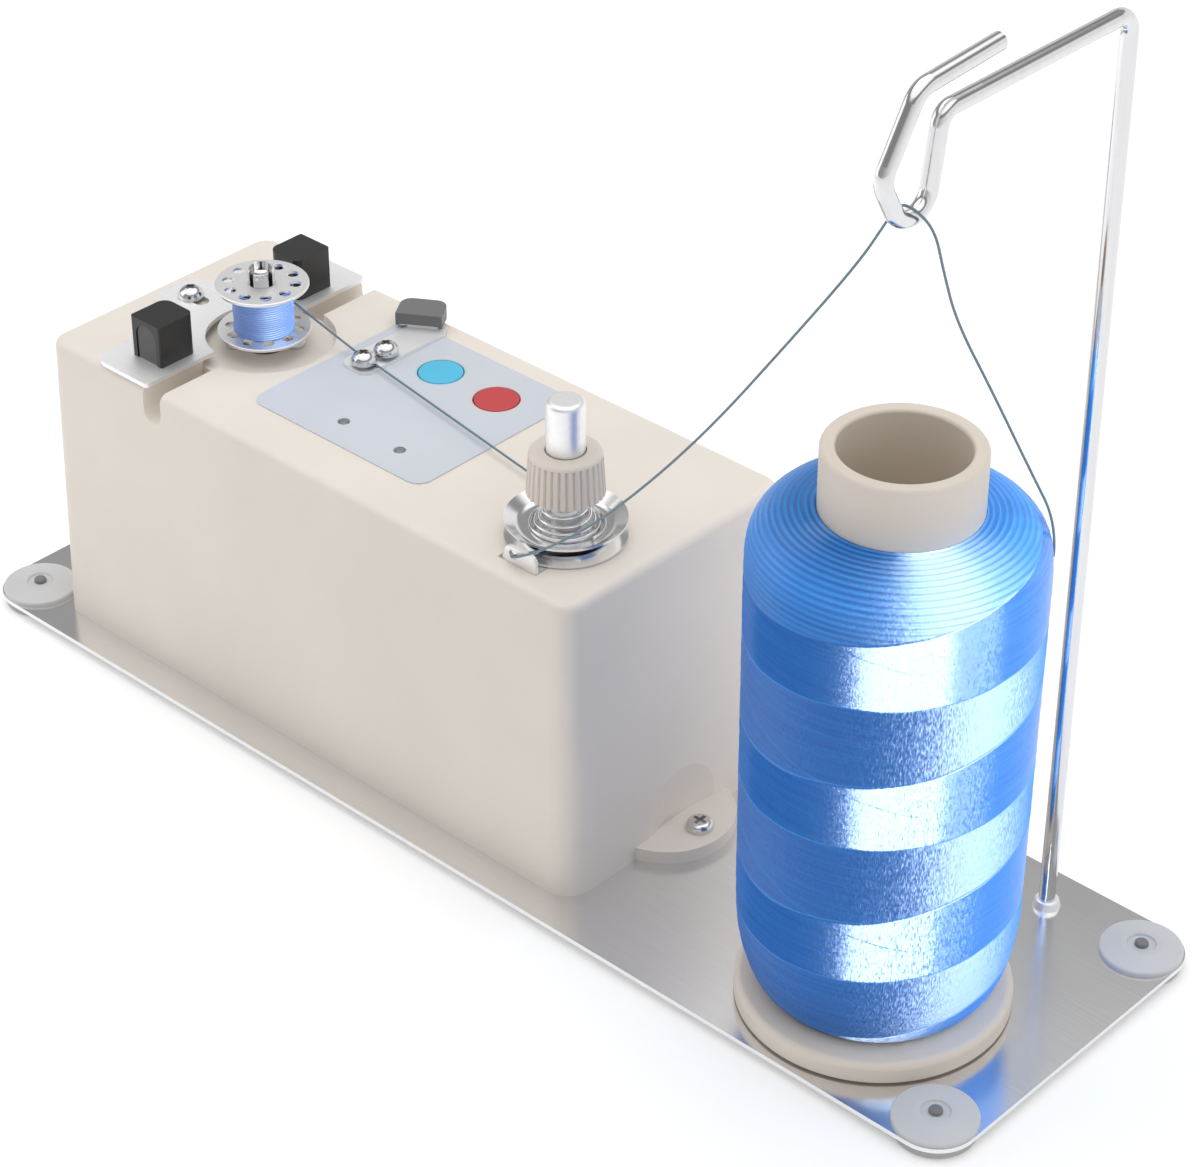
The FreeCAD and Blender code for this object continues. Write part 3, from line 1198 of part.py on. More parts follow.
def makeThread():
    """Straight runs joined by tangent arcs, from the cone to the bobbin."""
    spots = [Vector(*corner[:3]) for corner in threadRoute]
    here = spots[0]
    edges = []
    radii = []
    for i in range(1, len(spots) - 1):
        before = (spots[i] - spots[i - 1]).normalize()
        after = (spots[i + 1] - spots[i]).normalize()
        half = math.acos(max(-1.0, min(1.0, before.dot(after)))) / 2
        shorter = min((spots[i] - spots[i - 1]).Length, (spots[i + 1] - spots[i]).Length)
        cut = 0.45 * shorter
        if len(threadRoute[i]) > 3:
            cut = threadRoute[i][3] * math.tan(half)
        start = spots[i] - before * cut
        end = spots[i] + after * cut
        edges.append(Part.LineSegment(here, start).toShape())
        arc, radius = arcThrough(spots[i], start, end)
        edges.append(arc)
        radii.append("%.1f" % radius)
        here = end
    edges.append(Part.LineSegment(here, spots[-1]).toShape())
    path = Part.Wire(edges)
    half = number("threadThick / 2")
    item = doc.addObject("Part::Feature", "thread")
    item.Shape = tube(path, spots[0], spots[1] - spots[0], half)
    item.Label = "thread"
    keep(item)
    ideal = math.pi * half ** 2 * path.Length
    print("thread: %.1f mm long, volume %.4f of section times length, radii %s"
          % (path.Length, item.Shape.Volume / ideal, ", ".join(radii)))


def makeInlet():
    piece = newBody("power_socket", "inletX", "0")
    deep = "inletDeep"
    face = "housingHalf - 0.2"
    sketch = sketchOn(piece, "XZ_Plane", "0 - (%s)" % face)
    low = "plateTop + inletLift"
    rectangle(sketch, "0 - inletWidth / 2", low, "inletWidth / 2", low + " + inletHeight")
    pad(piece, sketch, deep)
    bore = sketchOn(piece, "XZ_Plane", "0 - (%s)" % face)
    circle(bore, "0", low + " + inletHeight / 2", "inletBore")
    circle(bore, "0", low + " + inletHeight / 2", "inletPin")
    pocket(piece, bore, "inletBoreDepth", reverse=True)
    keep(piece)


makePlate()
makeFeet()
makeHousing()
makeHousingScrews()
makeLabel()
makeButtons()
makeLamps()
makeBoard()
makeMotor()
makeSpindle()
makeBobbin()
makeBracket()
makeCutter()
makeTensioner()
makeMast()
makeCone()
makeInlet()
makeThread()
doc.recompute()

for thing in doc.Objects:
    if "Invalid" in thing.State or "Error" in thing.State:
        raise ValueError("failed: " + thing.Label)
for node in nodes:
    if node.Shape.isNull() or not node.Shape.isValid():
        raise ValueError("no valid solid: " + node.Label)

os.makedirs("parts", exist_ok=True)
for node in nodes:
    node.Shape.exportStep("parts/%s.step" % node.Label)
    box = node.Shape.BoundBox
    print("%-16s %d solids %10.2f mm3  x %.2f %.2f  y %.2f %.2f  z %.2f %.2f"
          % (node.Label, len(node.Shape.Solids), node.Shape.Volume, box.XMin, box.XMax,
             box.YMin, box.YMax, box.ZMin, box.ZMax))
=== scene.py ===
import json
import math
import bmesh
import bpy
import numpy as np
from mathutils import Matrix, Vector


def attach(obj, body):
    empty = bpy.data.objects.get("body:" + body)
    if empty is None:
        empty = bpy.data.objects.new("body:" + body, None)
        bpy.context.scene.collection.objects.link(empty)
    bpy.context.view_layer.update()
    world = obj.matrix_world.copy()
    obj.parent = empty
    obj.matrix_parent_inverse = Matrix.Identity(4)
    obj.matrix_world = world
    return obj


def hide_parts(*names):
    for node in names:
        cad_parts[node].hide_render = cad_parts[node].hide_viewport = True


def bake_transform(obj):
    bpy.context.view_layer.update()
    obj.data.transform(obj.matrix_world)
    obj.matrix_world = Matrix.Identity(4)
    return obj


# Looks of a bobbin winder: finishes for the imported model, wound thread and a soft studio.

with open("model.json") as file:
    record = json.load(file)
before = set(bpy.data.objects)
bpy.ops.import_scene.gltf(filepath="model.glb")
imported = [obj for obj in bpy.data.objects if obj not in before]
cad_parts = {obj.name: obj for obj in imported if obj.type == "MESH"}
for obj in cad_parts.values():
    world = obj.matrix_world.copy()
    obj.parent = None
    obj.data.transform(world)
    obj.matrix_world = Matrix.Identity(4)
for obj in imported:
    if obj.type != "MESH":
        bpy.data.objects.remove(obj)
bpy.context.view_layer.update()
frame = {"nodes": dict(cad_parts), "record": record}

perMetre = 1000.0     # millimetres
uvLength = 100.0      # millimetres along a winding to one unit of its UV map


def show(name, data):
    # a new object, linked into the scene
    thing = bpy.data.objects.new(name, data)
    bpy.context.scene.collection.objects.link(thing)
    return thing


# camera: where it stands, and the way it looks, as fitted to the photograph
camera = {
    "place": (0.40968, -0.42777, 0.44773),
    "azimuth": 0.82471,     # radians from -X towards +Y
    "elevation": 0.59394,   # radians down
    "roll": 0.0015,
    "lens": 102.79,
    "sensor": 36.0,
    "sees": (0.01, 20.0),   # nearest and furthest, in metres
}


def placeCamera(c):
    az, el = c["azimuth"], c["elevation"]
    ahead = Vector((-math.cos(el) * math.cos(az), math.cos(el) * math.sin(az), -math.sin(el)))
    right = ahead.cross(Vector((0, 0, 1))).normalized()
    up = right.cross(ahead)
    turn = math.cos(c["roll"]), math.sin(c["roll"])
    right, up = right * turn[0] + up * turn[1], up * turn[0] - right * turn[1]
    data = bpy.data.cameras.new("camera")
    data.lens, data.sensor_width = c["lens"], c["sensor"]
    data.clip_start, data.clip_end = c["sees"]
    thing = show("camera", data)
    spin = Matrix((right, up, -ahead)).transposed().to_4x4()
    thing.matrix_world = Matrix.Translation(Vector(c["place"])) @ spin
    bpy.context.scene.camera = thing


placeCamera(camera)
print("camera placed")


# the laid thread: from the cone's shoulder over the hook, through the eye and round the
# tensioner's boss, past the guide screw and onto the bobbin; control points in metres
laidThread = {
    "thick": 0.0005,
    "length": 0.3684,
    "order": 3,
    "steps": 12,         # along each span of the curve
    "roundness": 3,      # of its section
    "points": [
        (0.11889, 0.00791, 0.1046), (0.12015, 0.0061, 0.1130), (0.1177, -0.0002, 0.1262),
        (0.1149, -0.0096, 0.1454), (0.1123, -0.0177, 0.1614), (0.1121, -0.0220, 0.1727),
        (0.1122, -0.0251, 0.1815), (0.1104, -0.02845, 0.18615),
        (0.1070, -0.0286, 0.18615), (0.1046, -0.02862, 0.1816), (0.0996, -0.02865, 0.1726),
        (0.0875, -0.0287, 0.1548), (0.0654, -0.02875, 0.1234), (0.0427, -0.0286, 0.0968),
        (0.0278, -0.0283, 0.0831), (0.0196, -0.02805, 0.0771), (0.0166, -0.0281, 0.0755),
        (0.0160, -0.02755, 0.07528), (0.02261, -0.01562, 0.07525), (0.024115, -0.012912, 0.07525),
        (0.021201, -0.006853, 0.07525), (0.01824, -0.00635, 0.07524), (-0.0566, 0.00634, 0.07497),
        (-0.0596, 0.00685, 0.07496), (-0.0629, 0.00688, 0.0750), (-0.08533, 0.0071, 0.0805)],
}


def layThread(t):
    data = bpy.data.curves.new("sewing_thread", "CURVE")
    data.dimensions = "3D"
    spline = data.splines.new("NURBS")
    spline.points.add(len(t["points"]) - 1)
    spline.points.foreach_set("co", np.insert(np.array(t["points"]), 3, 1.0, axis=1).ravel())
    # the points carry the thread's radius and the bevel's depth is 1, because the curve's box
    # counts the points' radius and not the bevel's depth
    spline.points.foreach_set("radius", np.full(len(t["points"]), t["thick"] / 2))
    data.bevel_depth = 1.0
    spline.order_u = t["order"]
    spline.use_endpoint_u = True
    spline.resolution_u = t["steps"]
    data.bevel_resolution = t["roundness"]
    data.use_fill_caps = True
    thing = show("sewing_thread", data)
    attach(thing, "frame")
    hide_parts("thread")
    return thing


threadPiece = layThread(laidThread)
print("thread laid")


# surfaces worked out as grids of points

def putSurface(name, places, body="frame", along=None):
    # A grid of rows by columns becomes quads, and its columns close into a ring. Where along
    # gives each row's distance, a UV map holds the turn across and that distance up.
    rows, columns = places.shape[:2]
    i = np.arange(rows - 1)[:, None]
    j = np.arange(columns)[None, :]
    after = (j + 1) % columns
    quads = np.stack([i * columns + j, i * columns + after,
                      (i + 1) * columns + after, (i + 1) * columns + j], -1).reshape(-1, 4)
    mesh = bpy.data.meshes.new(name)
    mesh.from_pydata(places.reshape(-1, 3), [], quads)
    if along is not None:
        across = np.stack([j + 0 * i, j + 1 + 0 * i, j + 1 + 0 * i, j + 0 * i], -1)
        upward = np.stack([i + 0 * j, i + 0 * j, i + 1 + 0 * j, i + 1 + 0 * j], -1)
        spots = np.stack([across / columns, along[upward]], -1)
        layer = mesh.uv_layers.new(name="lay")
        layer.data.foreach_set("uv", spots.reshape(-1).astype(np.float32))
    mesh.polygons.foreach_set("use_smooth", np.ones(len(quads), bool))
    mesh.update()
    thing = show(name, mesh)
    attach(thing, body)
    return thing


def roundAxis(centre, radius, height, turn):
    # x and y = centre + radius * cosine and sine of the angle, z = height. The centre is in
    # metres, the radius and the height are in millimetres, and a turn of 1 is all the way round.
    angle = 2 * np.pi * turn
    return np.stack([centre[0] + radius * np.cos(angle) / perMetre,
                     centre[1] + radius * np.sin(angle) / perMetre,
                     height / perMetre + 0 * angle], -1)


def smoothPath(corners, count, window):
    # Points evenly spaced along a polyline; each then takes the mean of a window of them with a
    # bell's weights, so that corners round off. Half a window at each end stays as it is.
    corners = np.array(corners, float)
    steps = np.r_[0, np.cumsum(np.hypot(*np.diff(corners, axis=0).T))]
    spots = np.linspace(0, steps[-1], count)
    path = np.stack([np.interp(spots, steps, corners[:, k]) for k in (0, 1)], -1)
    bell = np.hanning(window)
    bell /= bell.sum()
    half = window // 2
    for k in (0, 1):
        path[half:-half, k] = np.convolve(path[:, k], bell, "valid")
    return path, spots


# the cone's winding: profile as radius and height, in millimetres
coneWound = {
    "centre": (0.0996, -0.013),
    "profile": [(15.3, 8.05), (20.4, 8.05), (21.6, 8.6), (23.2, 10.2), (24.5, 12.2), (25.6, 15.2),
                (26.5, 18.4), (27.1, 21.8), (27.5, 26.0), (27.62, 34.0), (27.75, 55.0),
                (27.88, 80.0), (27.98, 98.0), (27.98, 104.5), (27.85, 107.6), (27.4, 110.2),
                (26.5, 112.2), (25.3, 113.7), (24.0, 114.65), (22.5, 115.45), (20.8, 116.05),
                (18.9, 116.45), (17.0, 116.68), (15.3, 116.75)],
    "rows": 760,
    "around": 120,
    "window": 31,            # rows that round the profile's corners
    "relief": 0.045,         # how deep the crossed layers stand, and their two pitches
    "broadPitch": 12.4,
    "finePitch": 3.55,
    "shoulderFrom": 108.0,   # over this height the thread lies in rings
    "shoulderBlend": 0.8,
    "shoulderPitch": 1.25,
    "shoulderRelief": 0.14,
    "fade": 2.0,             # so near each end the relief fades out
}


def windCone(w):
    # radius and height = profile + rise along the profile's outward normal. On the body the rise
    # is a broad and a fine sine, two helices that climb opposite ways. Over the shoulder it is
    # |cos| of a third helix, one thread in rings. An S-curve of the height mixes the two.
    path, spots = smoothPath(w["profile"], w["rows"], w["window"])
    slope = np.gradient(path, axis=0)
    slope /= np.hypot(slope[:, 0], slope[:, 1])[:, None]
    out = np.stack([slope[:, 1], -slope[:, 0]], -1)
    turn = np.arange(w["around"]) / w["around"]
    shoulder = 1 / (1 + np.exp(-(path[:, 1:] - w["shoulderFrom"]) / w["shoulderBlend"]))
    top = spots - np.interp(w["shoulderFrom"], path[:, 1], spots)
    rings = np.abs(np.cos(np.pi * (top[:, None] / w["shoulderPitch"] - turn))) - 1
    broad = np.sin(2 * np.pi * (spots[:, None] / w["broadPitch"] + turn))
    fine = np.sin(2 * np.pi * (spots[:, None] / w["finePitch"] - turn))
    layers = (broad + fine) / 2 - 1
    rise = shoulder * w["shoulderRelief"] * rings + (1 - shoulder) * w["relief"] * layers
    rise *= np.clip(np.minimum(spots, spots[-1] - spots) / w["fade"], 0, 1)[:, None]
    places = roundAxis(w["centre"], path[:, :1] + out[:, :1] * rise,
                       path[:, 1:] + out[:, 1:] * rise, turn)
    return putSurface("cone_winding", places, "spool", spots / uvLength)


conePiece = windCone(coneWound)
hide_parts("thread_cone", "cone_turns")
print("cone wound")


# the bobbin's winding, between its flanges, in millimetres
bobbinWound = {
    "centre": (-0.0854, 0.0),
    "low": 76.15,
    "high": 86.55,
    "radius": 6.72,
    "pitch": 0.52,
    "relief": 0.1,
    "swell": 0.06,         # how far the turns pile up, how often, and where that begins
    "swells": 2.3,
    "swellStart": 0.2,
    "rows": 240,
    "around": 96,
}


def windBobbin(w):
    # radius = core + relief * (|cos| of a helix - 1) + swell * (sine of the height - 1)
    height = np.linspace(w["low"], w["high"], w["rows"])[:, None]
    turn = np.arange(w["around"]) / w["around"]
    share = (height - w["low"]) / (w["high"] - w["low"])
    piled = np.sin(2 * np.pi * (share * w["swells"] + w["swellStart"])) - 1
    turns = np.abs(np.cos(np.pi * (height / w["pitch"] - turn))) - 1
    radius = w["radius"] + w["swell"] * piled + w["relief"] * turns
    return putSurface("bobbin_wound", roundAxis(w["centre"], radius, height, turn),
                      "spindle", (height[:, 0] - w["low"]) / uvLength)


bobbinPiece = windBobbin(bobbinWound)
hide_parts("bobbin_winding", "bobbin_turns")
print("bobbin wound")


# the tensioner's spring
sameSpot = 1e-7     # points of the spring nearer than this, in metres, are merged


def bendSpring(node):
    # The spring keeps the solid's form: a copy of its mesh, with its doubled points merged and its faces
    # smoothed, stands in its place.
    mesh = node.data.copy()
    mesh.transform(node.matrix_world)
    shape = bmesh.new()
    shape.from_mesh(mesh)
    bmesh.ops.remove_doubles(shape, verts=shape.verts, dist=sameSpot)
    shape.to_mesh(mesh)
    shape.free()
    mesh.polygons.foreach_set("use_smooth", np.ones(len(mesh.polygons), bool))
    thing = show("bending_spring", mesh)
    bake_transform(thing)
    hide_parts("tension_spring")


bendSpring(frame["nodes"]["tension_spring"])
print("spring placed")


# the printed halo round each button: centres in metres, radii and heights in millimetres
haloRings = {
    "centres": {"start_ring": (-0.0463, 0.0151), "stop_ring": (-0.0296, 0.0151)},
    "radii": (5.6, 5.2),
    "heights": (73.80, 73.83),
    "around": 96,
}


def printRing(name, centre, r):
    # a thin ring: the radius and the height run over two values, and the turn goes all round
    radius, height = np.array([r["radii"], r["heights"]])[:, :, None]
    turn = np.arange(r["around"]) / r["around"]
    return putSurface(name, roundAxis(centre, radius, height, turn))


ringPieces = {name: printRing(name, centre, haloRings)
              for name, centre in haloRings["centres"].items()}
print("label rings printed")


# shader nodes

def put(tree, kind, **settings):
    # A node with its settings. An input is named by its place, such as in0, or by its own name,
    # such as in_Scale. A socket given as its value is linked in.
    node = tree.nodes.new("ShaderNode" + kind)
    for key, value in settings.items():
        if not key.startswith("in"):
            setattr(node, key, value)
            continue
        socket = node.inputs[int(key[2:]) if key[2:].isdigit() else key[3:]]
        if isinstance(value, bpy.types.NodeSocket):
            tree.links.new(value, socket)
        else:
            socket.default_value = value
    return node


def maths(tree, how, *values, kind="Math"):
    # one operation on its values, in their order
    inputs = {"in" + str(place): value for place, value in enumerate(values)}
    return put(tree, kind, operation=how, **inputs).outputs[0]


def vector(tree, how, *values):
    return maths(tree, how, *values, kind="VectorMath")


def scaled(tree, value, share):
    # a vector times a number
    return put(tree, "VectorMath", operation="SCALE", in0=value, in_Scale=share).outputs[0]


def mixColour(tree, share, first, second):
    # the first colour at share 0, and the second at 1
    return put(tree, "Mix", data_type="RGBA", in0=share, in6=first, in7=second).outputs[2]


def noise(tree, spot, scale, detail):
    # a value from 0 to 1 that drifts with the spot; scale is how many waves go to one unit of it
    return put(tree, "TexNoise", in_Vector=spot, in_Scale=scale, in_Detail=detail).outputs["Fac"]


def spread(tree, value, low, high, newLow, newHigh):
    # the value's run from low to high becomes one from newLow to newHigh
    return put(tree, "MapRange", in0=value, in1=low, in2=high, in3=newLow, in4=newHigh).outputs[0]


def line(tree, phase, width):
    # 1 where the phase is a whole number, and 0 from the width away
    off = maths(tree, "FRACT", maths(tree, "ADD", phase, 0.5))
    off = maths(tree, "ABSOLUTE", maths(tree, "SUBTRACT", off, 0.5))
    return spread(tree, off, 0.0, width, 1.0, 0.0)


def socketKind(value):
    # one number is a Float, four are a Color, and three or none a Vector
    if isinstance(value, float):
        return "NodeSocketFloat"
    return "NodeSocketColor" if value and len(value) == 4 else "NodeSocketVector"


def newGroup(name, inputs):
    # a group with these inputs and their values, and with outputs for a surface
    group = bpy.data.node_groups.new(name, "ShaderNodeTree")
    for label, value in inputs.items():
        socket = group.interface.new_socket(label, in_out="INPUT", socket_type=socketKind(value))
        if value is not None:
            socket.default_value = value
    for label, kind in (("Colour", "Color"), ("Roughness", "Float"), ("Normal", "Vector")):
        group.interface.new_socket(label, in_out="OUTPUT", socket_type="NodeSocket" + kind)
    return group, group.nodes.new("NodeGroupInput").outputs


def giveOut(group, colour, roughness, normal):
    # the group's outputs, in their order
    out = group.nodes.new("NodeGroupOutput")
    for place, value in enumerate((colour, roughness, normal)):
        group.links.new(value, out.inputs[place])
    return group


# a moulded case: a fine spark texture, with a slow drift of colour and gloss
moulded = {
    "slow": (22.0, 4.0),        # a noise's scale and detail
    "fine": (2600.0, 2.0),
    "tones": (0.86, 1.06),      # the darkest and the palest, as shares of the colour
    "clip": (0.3, 0.7),         # the slow noise counts between these
    "middle": 0.6,              # the pale tone's share, which Drift moves up and down
    "roughBy": 0.08,            # what the fine noise adds to the roughness
    "bumpHeight": 0.0002,
}


def mouldedGrain(m):
    group, i = newGroup("mouldedGrain", {"Vector": None, "Colour": (0.8, 0.8, 0.8, 1),
                                         "Drift": 0.03, "Rough": 0.45, "Depth": 0.05})
    slow = noise(group, i["Vector"], *m["slow"])
    fine = noise(group, i["Vector"], *m["fine"])
    dark, pale = [put(group, "HueSaturation", in_Color=i["Colour"], in_Value=tone).outputs[0]
                  for tone in m["tones"]]
    share = spread(group, slow, *m["clip"], maths(group, "SUBTRACT", m["middle"], i["Drift"]),
                   maths(group, "ADD", m["middle"], i["Drift"]))
    bump = put(group, "Bump", in_Height=fine, in_Strength=i["Depth"], in_Distance=m["bumpHeight"])
    return giveOut(group, mixColour(group, share, dark, pale),
                   maths(group, "MULTIPLY_ADD", fine, m["roughBy"], i["Rough"]), bump.outputs[0])


# drawn metal: fine lines along one way, faint smudges and a slightly uneven tone
drawn = {
    "lines": (1.0, 3.0),        # a noise's scale and detail
    "smudges": (35.0, 5.0),
    "dim": 0.9,                 # the darkest tone, as a share of the colour, and how much shows
    "dimShare": 0.5,
    "clip": (0.3, 0.7),         # the lines' noise counts between these
    "uneven": (0.6, 0.4),       # the shares of the smudges and the lines in the gloss
    "bumpHeight": 0.0001,
}


def drawnMetal(d):
    group, i = newGroup("drawnMetal", {"Vector": None, "Colour": (0.8, 0.8, 0.8, 1),
                                       "Stretch": (30.0, 2500.0, 2500.0), "Rough": 0.15,
                                       "Spread": 0.1, "Depth": 0.03})
    lines = noise(group, vector(group, "MULTIPLY", i["Vector"], i["Stretch"]), *d["lines"])
    smudge = noise(group, i["Vector"], *d["smudges"])
    dim = put(group, "HueSaturation", in_Color=i["Colour"], in_Value=d["dim"]).outputs[0]
    share = spread(group, lines, *d["clip"], 0.0, d["dimShare"])
    both = maths(group, "MULTIPLY_ADD", smudge, d["uneven"][0],
                 maths(group, "MULTIPLY", lines, d["uneven"][1]))
    bump = put(group, "Bump", in_Height=lines, in_Strength=i["Depth"], in_Distance=d["bumpHeight"])
    return giveOut(group, mixColour(group, share, i["Colour"], dim),
                   maths(group, "MULTIPLY_ADD", both, i["Spread"], i["Rough"]), bump.outputs[0])


# Wound thread lies in wide bands, one way and then the other, and each band throws the light
# sideways its own way. A thread is round, so it sends the light out at one height wherever it
# lies on the cone: the normal is taken from the axis and lifted.
wound = {
    "slow": (40.0, 2.0),                 # a noise's scale and detail
    "grain": (3000.0, 2.0),
    "grainLong": (1.0, 1.0, 0.5),        # how a noise is drawn out
    "fray": (4600.0, 1.0),
    "frayLong": (1.0, 1.0, 0.2),
    "fibres": (1.0, 3.0),
    "fibresLong": (60.0, 60.0, 2600.0),
    "fibresClip": (0.3, 0.7),
    "fibresTone": 0.3,
    "waveFrom": -5.9,                    # where round the cone the sway begins, in radians
    "wander": 0.05,                      # how far the slow noise moves a border
    "ragged": 0.012,                     # how far the grain does
    "border": 0.012,                     # how wide a border blends
    "edgeWidth": 0.008,                  # half the width of the line on a border
    "strandWidth": 0.006,                # and of a stray strand's line
    "strandFade": (-0.5, -0.2),          # the sway's values where a stray strand ends
    "strandTone": 0.7,                   # how strong it is, set against the line on a border
    "lineLift": -0.5,                    # what a line takes from the lift
    "rimRound": 0.15,                    # what the rings over the shoulder add or take
    "rimFray": 0.4,                      # from roundness, lean, tone and softness
    # the rings' tone is a painted sheen: the shoulder is painted paler, most on the crests of the rings
    "rimSheen": 0.3,
    "rimSoft": -0.2,
    "roughBy": 0.12,
    "bumpHeight": 0.0002,
}


def windingMasks(tree, i, w, turn, up, grain):
    # level = height * Rate + Shift, swaying round the cone. Where its fraction is below Share the
    # thread lies the first way, and past the last band it lies in rings, the rim. Lines mark the
    # borders and, on one side of the cone, a stray strand.
    slow = noise(tree, i["Spot"], *w["slow"])
    wave = maths(tree, "SINE", maths(tree, "MULTIPLY_ADD", turn, 2 * math.pi, w["waveFrom"]))
    level = maths(tree, "MULTIPLY_ADD", up, i["Rate"], i["Shift"])
    level = maths(tree, "SUBTRACT", level, maths(tree, "MULTIPLY", i["Sway"], wave))
    level = maths(tree, "ADD", level,
                  maths(tree, "MULTIPLY_ADD", slow, w["wander"], -w["wander"] / 2))
    share = maths(tree, "MULTIPLY_ADD", i["Swell"], wave, i["Share"])
    ragged = maths(tree, "MULTIPLY_ADD", grain, w["ragged"], level)
    part = maths(tree, "FRACT", ragged)
    below = spread(tree, part, maths(tree, "SUBTRACT", share, w["border"]), share, 1.0, 0.0)
    band = maths(tree, "MULTIPLY", below, spread(tree, part, 0.0, w["border"], 0.0, 1.0))
    past = maths(tree, "SUBTRACT", maths(tree, "SUBTRACT", ragged, share), i["Bands"])
    rim = spread(tree, past, 0.0, w["border"], 0.0, 1.0)
    edges = maths(tree, "MAXIMUM", line(tree, level, w["edgeWidth"]),
                  line(tree, maths(tree, "SUBTRACT", level, share), w["edgeWidth"]))
    strand = line(tree, maths(tree, "MULTIPLY_ADD", turn, i["Climb"], level), w["strandWidth"])
    strand = maths(tree, "MULTIPLY", strand,
                   spread(tree, wave, *w["strandFade"], w["strandTone"], 0.0))
    lines = maths(tree, "MULTIPLY", maths(tree, "MAXIMUM", edges, strand),
                  maths(tree, "SUBTRACT", 1.0, rim))
    return band, rim, lines


def windingNormal(tree, i, w, band, rim, lines, ring, grain, fray):
    # normal = base + side * lean + upright * lift, at unit length. The base is the direction
    # from the axis mixed with the grain's bump.
    bump = put(tree, "Bump", in_Height=grain, in_Strength=i["Depth"], in_Distance=w["bumpHeight"])
    upright = put(tree, "CombineXYZ", in2=1.0).outputs[0]
    outward = vector(tree, "MULTIPLY", vector(tree, "SUBTRACT", i["Spot"], i["Axis"]), (1, 1, 0))
    outward = put(tree, "VectorTransform", vector_type="VECTOR", convert_from="OBJECT",
                  convert_to="WORLD", in0=vector(tree, "NORMALIZE", outward)).outputs[0]
    rounded = maths(tree, "MULTIPLY_ADD", rim, w["rimRound"], 1 - w["rimRound"])
    rounded = maths(tree, "MULTIPLY", i["Round"], rounded)
    flat = scaled(tree, bump.outputs[0], maths(tree, "SUBTRACT", 1.0, rounded))
    base = vector(tree, "NORMALIZE", vector(tree, "ADD", flat, scaled(tree, outward, rounded)))
    side = vector(tree, "CROSS_PRODUCT", upright, base)

    second = maths(tree, "MULTIPLY_ADD", fray, i["Astray"], i["Second"])
    lean = spread(tree, band, 0.0, 1.0, second, i["First"])
    top = maths(tree, "MULTIPLY_ADD", fray, w["rimFray"], i["Top"])
    lean = spread(tree, rim, 0.0, 1.0, lean, top)
    lean = maths(tree, "MULTIPLY_ADD", maths(tree, "SUBTRACT", grain, 0.5), i["Grain"], lean)

    lift = maths(tree, "MULTIPLY", i["Lift"],
                 maths(tree, "MULTIPLY_ADD", lines, w["lineLift"], 1.0))
    lift = maths(tree, "MULTIPLY_ADD", maths(tree, "MULTIPLY", ring, rim), i["Ridge"], lift)
    loose = maths(tree, "MULTIPLY", maths(tree, "MULTIPLY", band, i["Loose"]), fray)
    lift = maths(tree, "ADD", lift, loose)
    leant = vector(tree, "ADD", base, scaled(tree, side, lean))
    return vector(tree, "NORMALIZE", vector(tree, "ADD", leant, scaled(tree, upright, lift)))


def windingColour(tree, i, w, rim, lines, ring):
    # dark to pale, by the fibres, with a painted highlight on the lines and a painted sheen on the rings
    # over the shoulder
    fibres = noise(tree, vector(tree, "MULTIPLY", i["Spot"], w["fibresLong"]), *w["fibres"])
    fibres = spread(tree, fibres, *w["fibresClip"], 0.0, 1.0)
    # the lines on the band borders and the stray strand are painted paler, a painted highlight
    tone = maths(tree, "MULTIPLY_ADD", fibres, w["fibresTone"],
                 maths(tree, "MULTIPLY", lines, i["Edge"]))
    # painted sheen: over the shoulder the colour is painted paler, most on the crests of the rings
    ringSheen = maths(tree, "MULTIPLY_ADD", ring, w["rimSheen"], w["rimSheen"])
    tone = maths(tree, "MULTIPLY_ADD", rim, ringSheen, tone)
    return mixColour(tree, tone, i["Dark"], i["Pale"])


def windingBands(w):
    # ring = sine of a helix up the cone, for the rings over the shoulder
    group, i = newGroup("windingBands", {
        "Lay": None, "Spot": None, "Axis": (0.0, 0.0, 0.0), "Round": 0.0, "Rate": 3.2,
        "Shift": 0.05, "Sway": 0.1, "Share": 0.52, "Swell": 0.1, "Bands": 3.0, "Climb": 2.0,
        "First": 0.2, "Second": -0.4, "Astray": 0.0, "Soft": 0.0, "Top": 0.1, "Lift": 0.6,
        # the lines' share of the pale colour is a painted highlight on the borders and the stray strand
        "Ridge": 0.3, "Pitch": 0.0125, "Loose": 0.0, "Grain": 0.1, "Depth": 0.3, "Edge": 0.5,
        "Rough": 0.22, "Dark": (0.05, 0.2, 0.7, 1), "Pale": (0.12, 0.4, 0.95, 1)})
    turn, up = put(group, "SeparateXYZ", in0=i["Lay"]).outputs[:2]
    grain = noise(group, vector(group, "MULTIPLY", i["Spot"], w["grainLong"]), *w["grain"])
    fray = noise(group, vector(group, "MULTIPLY", i["Spot"], w["frayLong"]), *w["fray"])
    fray = maths(group, "SUBTRACT", fray, 0.5)
    ring = maths(group, "SUBTRACT", maths(group, "DIVIDE", up, i["Pitch"]), turn)
    ring = maths(group, "SINE", maths(group, "MULTIPLY", ring, 2 * math.pi))
    band, rim, lines = windingMasks(group, i, w, turn, up, grain)
    soft = maths(group, "MULTIPLY", maths(group, "SUBTRACT", 1.0, band),
                 maths(group, "MULTIPLY_ADD", rim, w["rimSoft"], 1.0))
    rough = maths(group, "MULTIPLY_ADD", soft, i["Soft"], i["Rough"])
    return giveOut(group, windingColour(group, i, w, rim, lines, ring),
                   maths(group, "MULTIPLY_ADD", grain, w["roughBy"], rough),
                   windingNormal(group, i, w, band, rim, lines, ring, grain, fray))


groups = {"moulded": mouldedGrain(moulded), "drawn": drawnMetal(drawn), "wound": windingBands(wound)}
print("shader groups made")


# materials: each is one group for the surface and one Principled shader for the rest

